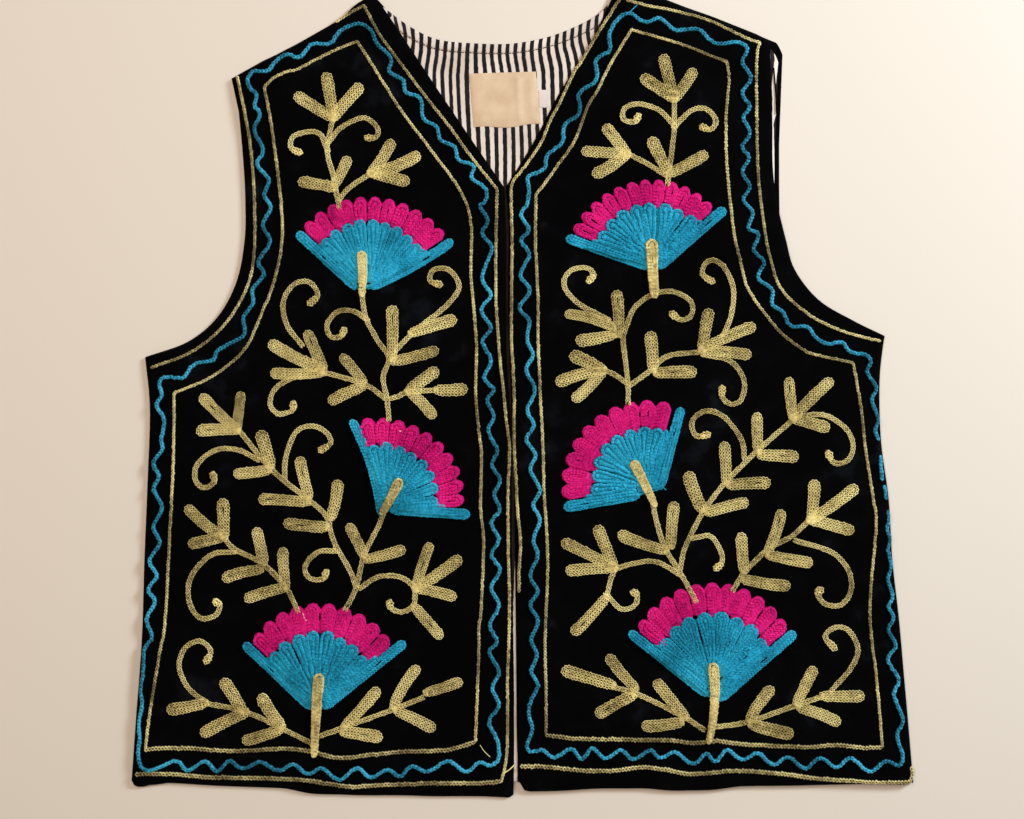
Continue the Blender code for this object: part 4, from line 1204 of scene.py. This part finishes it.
def sew_flower(flower, layer, creases):
    """The fan and the crown behind it, each on its own plate: what later sewing lies on."""
    crown = Yarn("crown_" + flower.name, None, len(flower.name) * CROWN_SEED + flower.crown_lobes)
    crown_plate = flower_plate(crown, "flower_crown_" + flower.name, creases)
    crown.ground = Ground(layer, crown_plate)
    petals(crown, flower, flower.crown, lambda share: radius_at(flower.fan, share) - CROWN_UNDER,
           flower.crown_lobes, CROWN_OVERLAP, CROWN_PETAL)
    piece = crown.build(materials["pink"], materials["pink_padding"], "pink_thread")
    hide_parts("flower_crown_" + flower.name)
    fan = Yarn("fan_" + flower.name, None, len(flower.name) * FAN_SEED + flower.fan_lobes)
    plate = flower_plate(fan, "flower_fan_" + flower.name, creases, shown=False)
    over_crown = (crown_plate[0] + (0.0, 0.0, CROWN_RISE), crown_plate[1])
    fan.ground = Ground(layer, plate, over_crown)
    fan_padding(fan, flower)
    wings = ((flower.right, 1.0), (flower.left, -1.0))
    for wing, inward in wings:
        length, along, left = aim(wing.foot, wing.tip)
        for offset, reach in WING_ROWS:
            shift = left * inward * (wing.half + offset)
            fan.finger(wing.foot - along * WING_ROW_ROOT + shift * WING_ROW_CLOSE,
                       wing.foot + along * length * reach + shift, *WING_ROW_HALVES, WING_ROW,
                       -wing.bow * inward * WING_ROW_CLOSE)
    petals(fan, flower, flower.fan, lambda share: FAN_ROOT, flower.fan_lobes, FAN_OVERLAP, FAN_PETAL)
    for wing, inward in wings:
        foot, tip = np.array(wing.foot), np.array(wing.tip)
        fan.finger(foot - (tip - foot) * WING_ROOT, tip + aim(foot, tip)[1] * wing.half * WING_OVER,
                   wing.half * WING_BASE, wing.half * wing.point, WING, -wing.bow * inward)
    feet = [np.array(wing.foot) * (1.0 + FOOT_BACK) - np.array(wing.tip) * FOOT_BACK for wing, _ in wings]
    up = np.array(flower.centre) - 0.5 * (feet[0] + feet[1])
    for row in range(FOOT_ROWS):
        shift = up / max(np.linalg.norm(up), SHORTEST_UP) * FOOT_ROW * (row + FOOT_START)
        fan.chain(smooth_path((feet[0] + shift, feet[1] + shift)), ROW * FOOT_WIDE, FOOT_LIFT)
    piece = fan.build(materials["blue"], materials["blue_padding"], "blue_thread")
    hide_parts("flower_fan_" + flower.name)
    return over_crown, plate


def sew_vines(side, front, ground, over):
    """Stems, curls, leaves and flower stalks of one front."""
    vines = Yarn("vines_" + side, ground, VINE_SEED + front.seed)
    for points in front.stems:
        vines.stem(smooth_path(to_mm(points)), STEM_LIFT)
    for points in front.curls:
        path = smooth_path(to_mm(points))
        first = path[0] - aim(path[0], path[CURL_AIM])[1] * CURL_ROOT
        vines.stem(np.concatenate([np.linspace(first, path[0], 3)[:2], path]), CURL_LIFT)
        end = path[-1] + aim(path[-1 - CURL_AIM], path[-1])[1] * CURL_OVER
        vines.finger(path[-CURL_BACK], end, *CURL_HALVES, CURL_END)
    growth = Yarn("leaves_" + side, ground, LEAF_SEED + front.seed)
    for root, *tips in front.leaves:
        for tip in tips:
            base, end = to_mm((root, tip))
            out = aim(base, end)[1]
            wide, root_wide = growth.draw.normal(1.0, LEAF_DRAW, 2)
            growth.finger(base - out * LEAF_ROOT, end + out * LEAF_OVER, LEAF_BASE * root_wide,
                          LEAF_TIP * wide, LEAF)
    stalks = Yarn("stalks_" + side, over, STALK_SEED + front.seed)
    for flower in FLOWERS:
        if flower.front == side:
            foot, top = to_mm(flower.stalk)
            stalks.finger(foot - aim(foot, top)[1] * STALK_FOOT, top, *flower.stalk_halves, STALK)
    for piece in (vines, growth, stalks):
        piece.build(materials["gold"], materials["gold_padding"], "gold_thread")


def sew_borders(side, front, ground):
    """Two gold lines and the blue wave between them, round one front."""
    gold = Yarn("border_gold_" + side, ground, GOLD_SEED + front.seed)
    for run in (*front.inner, *front.outer):
        path = smooth_path(to_mm(run))
        gold.chain(path, *(HEM_LINE if path[:, 1].max() < HEM_TOP else GOLD_LINE))
    blue = Yarn("border_blue_" + side, ground, BLUE_SEED + front.seed)
    for run in front.wave:
        blue.chain(smooth_path(to_mm(run)), *WAVE_LINE)
    return gold, blue


def tape_piece(name, tape, material, node):
    """A small woven tape, puckered where it is sewn down."""
    a, b, c, d = (np.array(p) for p in tape.corners)
    columns, rows = tape.grid
    across, along = np.meshgrid(np.linspace(0, 1, columns + 1), np.linspace(0, 1, rows + 1))
    u, v = across[..., None], along[..., None]
    points = (a * (1 - u) + b * u) * (1 - v) + (d * (1 - u) + c * u) * v
    x, y = points[..., 0], points[..., 1]
    y = y + (1 - along) ** 3 * WAVER * np.sin(across * WAVER_TURN + WAVER_START) * tape.pucker
    width, length = np.linalg.norm(b - a), np.linalg.norm(d - a)
    depth = np.minimum(np.minimum(across, 1 - across) * width, np.minimum(along, 1 - along) * length)
    # Uneven puckers: two rows of waves that run askew
    sway = FINE_SWAY * np.sin(along * FINE_SWAY_TURN)
    waves = (np.sin(across * FINE_TURN + sway) * FINE_SHARE
             + np.sin(across * BROAD_TURN - along * BROAD_LEAN))
    fold = FOLD_RISE * np.exp(-((across - FOLD_AT - FOLD_LEAN * along) / FOLD_WIDTH) ** 2)
    lift = tape.pucker * (PUCKER * (1.0 + waves) + fold * tape.pucker) * ease(depth / PUCKER_FADE)
    low = np.full_like(x, FRONT_REST - TAPE_SINK)
    piece = mesh_object(name, *shell(x, y, low, tape.thick + lift, depth * TAPE_EDGE))
    piece.data.materials.append(material)
    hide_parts(node)
    return piece


# Materials
velvet = velvet_material()
striped = lining_material()
materials = {
    name: yarn_material(name if "_" in name else name + "_yarn", *look) for name, *look in (
        ("gold", (0.34, 0.265, 0.095), (0.74, 0.62, 0.265), (0.95, 0.85, 0.405), 0.03),
        ("blue", (0.008, 0.205, 0.34), (0.016, 0.36, 0.575), (0.042, 0.51, 0.76), 0.02),
        ("pink", (0.43, 0.004, 0.14), (0.68, 0.0085, 0.225), (0.84, 0.021, 0.30), 0.02),
        ("pale", (0.70, 0.42, 0.40), (0.82, 0.60, 0.55), (0.90, 0.72, 0.66), 0.02),
        ("gold_line", (0.17, 0.132, 0.058), (0.43, 0.36, 0.17), (0.76, 0.67, 0.33), 0.03, 0.10),
        ("blue_line", (0.010, 0.11, 0.18), (0.026, 0.26, 0.42), (0.06, 0.46, 0.70), 0.02, 0.10),
        # The paddings are darker copies of their yarns: painted shade in the holes and gaps between the rows
        # of stitches
        ("gold_padding", (0.016, 0.012, 0.005), (0.035, 0.026, 0.010), (0.075, 0.058, 0.022), 0.0),
        ("blue_padding", (0.006, 0.16, 0.25), (0.012, 0.26, 0.40), (0.02, 0.36, 0.52), 0.0),
        ("pink_padding", (0.30, 0.002, 0.09), (0.46, 0.004, 0.14), (0.60, 0.007, 0.19), 0.0),
    )
}
cream = tape_material("cream_tape", (0.50, 0.35, 0.225), (0.62, 0.47, 0.33))
white = tape_material("white_tape", (0.56, 0.48, 0.46), (0.66, 0.58, 0.56))

# The back and its lining
x, y, depth = back_arrays(BACK_SPLIT, BACK_STEP, 0.0, 0.0, NECK_ROLL, 0.0)
back = mesh_object("back", *shell(x, y, np.zeros_like(x), BACK_VELVET * edge_share(depth), depth))
back.data.materials.append(velvet)
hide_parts("back_panel")

# The second map axis of the lining counts spans of this many millimetres
MAP_SPAN = 50.0

# Stripes: their pitch, where one lies, and how far they lean once they are below the row of stitching
STRIPE = 5.93
STRIPE_AT = 0.37
BAND = 7.0
LEAN_AT = (-68.0, -60.0, -23.5, -10.0, 8.0, 31.0)
LEAN = (-2.6, -2.6, 2.2, 2.6, 2.6, 3.7)
LEAN_RUN = 20.0
DRIFT, DRIFT_RUN = 0.038, 55.0
DRIFT_TO, DRIFT_FADE = 60.0, 30.0
RIPPLE, RIPPLE_ALONG, RIPPLE_ACROSS = 0.3, 17.0, 9.0
LEFT_SHIFT_AT = (-56.0, -46.0)
LEFT_SHIFT = (2.0, 0.0)
BAND_LEAN_AT = (-89.0, -80.0, -70.0, 50.0)
BAND_LEAN = (0.28, 0.05, -0.07, -0.12)
# In the gap between the fronts and at the left armhole the stripes bend so that dark stripes lie where the
# fronts shade the lining: partly painted shade
GAP_AT = (-155.0, -96.0, -37.0, 6.5, 65.0, 116.0, 139.0)
GAP_SHADE_LEAN = (4.4, 5.6, 5.2, 2.5, 0.9, 1.3, 0.0)
ARMHOLE_FROM, ARMHOLE_RUN = 90.0, 60.0
ARMHOLE_AT = (150.0, 190.0, 197.0, 203.0, 212.0, 225.0, 242.0)
ARMHOLE_SHADE_LEAN = (4.6, 4.2, 4.2, 6.4, 6.4, 5.8, 7.6)


def stripe_count(x, y, below):
    """How many stripes lie to the left of a point: the cloth is eased at the neck, so they bend there, and
    they also bend to lay dark stripes in the fronts' shade, as painted shade.
    """
    lean = np.interp(x, LEAN_AT, LEAN) * ease(below / LEAN_RUN)
    middle = DRIFT * np.clip(below - LEAN_RUN, 0.0, DRIFT_RUN) + np.interp(y, GAP_AT, GAP_SHADE_LEAN)
    lean = lean + middle * ease((DRIFT_TO - x) / DRIFT_FADE) + np.interp(x, LEFT_SHIFT_AT, LEFT_SHIFT)
    lean = lean + np.interp(y, ARMHOLE_AT, ARMHOLE_SHADE_LEAN) * ease((x - ARMHOLE_FROM) / ARMHOLE_RUN)
    ripple = RIPPLE * np.sin(y / RIPPLE_ALONG + x / RIPPLE_ACROSS)
    return (x - lean + ripple - STRIPE_AT) / STRIPE + 0.5


def below_neck(neck, x, y):
    """Distance below the neck edge."""
    edge = np.interp(x, neck[:, 0], neck[:, 1])
    slope = np.interp(x, neck[:, 0], np.gradient(neck[:, 1], neck[:, 0]))
    return (edge - y) / np.sqrt(1.0 + slope ** 2)


neck = smooth_path(BACK_NECK, NECK_STEP)
x, y, depth = back_arrays(LINING_SPLIT, LINING_STEP, 1.0, HEM_INSET, 0.0, SHOULDER_INSET)
thick = LINING * edge_share(depth) + crease_height(LINING_CREASES, x, y) * ease(depth / LINING_CREASE_RUN)
verts, faces = shell(x, y, np.full_like(x, SEAM_FALL), thick, depth)
count = stripe_count(x, y, np.maximum(below_neck(neck, x, y) - BAND, 0.0))
uv = np.tile(np.stack([count.ravel(), (y / MAP_SPAN).ravel()], 1), (2, 1))
lining = mesh_object("lining", verts, faces, uv=uv)
lining.data.materials.append(striped)
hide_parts("back_lining")

# The turned band at the back neck: its rows below the edge, and how high each lies on the lining
BAND_ENDS = (-96.0, 66.0)
BAND_AT = np.array((-0.1, 0.25, 0.8, 2.2, 4.0, 5.8, 6.6, BAND))
BAND_RISE = np.array((-0.9, -0.2, 0.32, 0.50, 0.48, 0.42, 0.20, -0.45))
BAND_WAVER, BAND_WAVE = 0.06, 5.0
neck = neck[(neck[:, 0] > BAND_ENDS[0]) & (neck[:, 0] < BAND_ENDS[1])]
points = np.stack([beside(neck, -d) for d in BAND_AT], 1)
x, y = points[..., 0], points[..., 1]
heights = np.tile(LINING_TOP + BAND_RISE, (len(neck), 1)) + BAND_WAVER * np.sin(x / BAND_WAVE)
lean = np.interp(x, BAND_LEAN_AT, BAND_LEAN) * (BAND - BAND_AT)
count = stripe_count(x + lean, y, 0.0)
band = mesh_object("neck_band", raised(points, heights), grid_faces(*heights.shape),
                   uv=np.stack([count.ravel(), (y / MAP_SPAN).ravel()], 1))
band.data.materials.append(striped)

# The row of stitching under the band, and the roll of velvet at the left armhole, which is partly painted
# shade on the lining there
STITCH_LENGTH, STITCH_PITCH, STITCH_RADIUS, STITCH_LIFT = 2.2, 2.9, 0.3, 0.15
STITCH_BELOW, STITCH_FIRST, STITCH_LAST, STITCH_POINTS = 0.25, 2.0, 3.0, 5
lining_ground = Ground((verts, faces))
thread_dark = yarn_material("dark_thread", (0.03, 0.022, 0.02), (0.06, 0.042, 0.037), (0.11, 0.08, 0.07), 0.0)
seam = Yarn("neck_stitches", lining_ground, NECK_SEED)
line = beside(neck, -(BAND + STITCH_BELOW))
run = distances(line)
for start in np.arange(STITCH_FIRST, run[-1] - STITCH_LAST, STITCH_PITCH):
    marks = np.linspace(start, start + STITCH_LENGTH, STITCH_POINTS)
    seam.strand(points_at(line, run, marks), STITCH_RADIUS, STITCH_LIFT)
seam.build(thread_dark, thread_dark, "striped_cotton")
# The velvet roll darkens the lining at the left armhole: partly painted shade
roll = Yarn("armhole_roll", lining_ground, ROLL_SEED)
roll.strand(smooth_path(to_mm(ARMHOLE_SHADE_ROLL)), ARMHOLE_RADIUS, ARMHOLE_LIFT)
roll.build(velvet, velvet, "velvet")

# The fronts
layers = {}
for side, front in FRONTS.items():
    x, y, low, thick, inside = front_arrays(front)
    verts, faces = shell(x, y, low, thick, inside)
    if side == "right":
        faces = faces[:, ::-1]
    piece = mesh_object("front_" + side, verts, faces)
    piece.data.materials.append(velvet)
    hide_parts("front_panel_" + side)
    layers[side] = (verts, faces)

# Label and tab
label = tape_piece("label", LABEL, cream, "neck_label")
tab = tape_piece("tab", TAB, white, "size_tab")

# Embroidery
crowns = {"right": [], "left": []}
fans = {"right": [], "left": []}
for flower in FLOWERS:
    crown, fan = sew_flower(flower, layers[flower.front], FRONTS[flower.front].creases)
    crowns[flower.front].append(crown)
    fans[flower.front].append(fan)
for side, front in FRONTS.items():
    over = Ground(layers[side], *fans[side])
    sew_vines(side, front, Ground(layers[side], *crowns[side]), over)
    gold, blue = sew_borders(side, front, Ground(layers[side]))
    for yarn in ("gold", "blue", "pale"):
        ends = Yarn("loose_" + yarn + "_" + side, over, LOOSE_SEED)
        for loose in LOOSE:
            if (loose.side, loose.yarn) == (side, yarn):
                ends.strand(smooth_path(to_mm(loose.places)), loose.radius, loose.lift)
        if ends.count:
            slot = "pink_thread" if yarn == "pale" else yarn + "_thread"
            ends.build(materials[yarn], materials[yarn], slot)
    gold.build(materials["gold_line"], materials["gold_padding"], "gold_thread")
    blue.build(materials["blue_line"], materials["blue_padding"], "blue_thread")

# Floor, light and camera, in metres
FLOOR_HALF = 4.0
FLOOR_FALL = 0.0001
floor_mesh = bpy.data.meshes.new("floor")
corners = ((-1, -1), (1, -1), (1, 1), (-1, 1))
places = [(x * FLOOR_HALF, y * FLOOR_HALF, -FLOOR_FALL) for x, y in corners]
floor_mesh.from_pydata(places, [], [(0, 1, 2, 3)])
floor = bpy.data.objects.new("floor", floor_mesh)
bpy.context.scene.collection.objects.link(floor)
nodes = Nodes("pale_floor")
floor_mesh.materials.append(nodes.finish((0.66, 0.60, 0.545), 0.9, specular=0.1))


def area_light(name, place, size, power, colour):
    """A soft lamp that faces the garment's middle."""
    data = bpy.data.lights.new(name, "AREA")
    data.size = size
    data.energy = power
    data.color = colour
    lamp = bpy.data.objects.new(name, data)
    lamp.location = place
    lamp.rotation_euler = (-Vector(place)).to_track_quat("-Z", "Y").to_euler()
    bpy.context.scene.collection.objects.link(lamp)


area_light("key", (1.26, 0.74, 0.95), 0.4, 31.0, (0.78, 0.93, 1.0))
area_light("fill", (-0.42, 0.45, 1.8), 1.3, 25.5, (1.0, 0.825, 0.66))
world = bpy.data.worlds.new("soft")
world.use_nodes = True
world.node_tree.nodes["Background"].inputs["Color"].default_value = (1.0, 0.85, 0.70, 1.0)
world.node_tree.nodes["Background"].inputs["Strength"].default_value = 0.22
bpy.context.scene.world = world
bpy.context.scene.view_settings.view_transform = "Standard"

camera_data = bpy.data.cameras.new("camera")
camera_data.lens = LENS
camera_data.sensor_width = SENSOR
camera_data.sensor_fit = "HORIZONTAL"
camera = bpy.data.objects.new("camera", camera_data)
camera.location = (CAMERA_AXIS[0] * MM, CAMERA_AXIS[1] * MM, CAMERA_HEIGHT * MM)
bpy.context.scene.collection.objects.link(camera)
bpy.context.scene.camera = camera

bpy.context.view_layer.update()
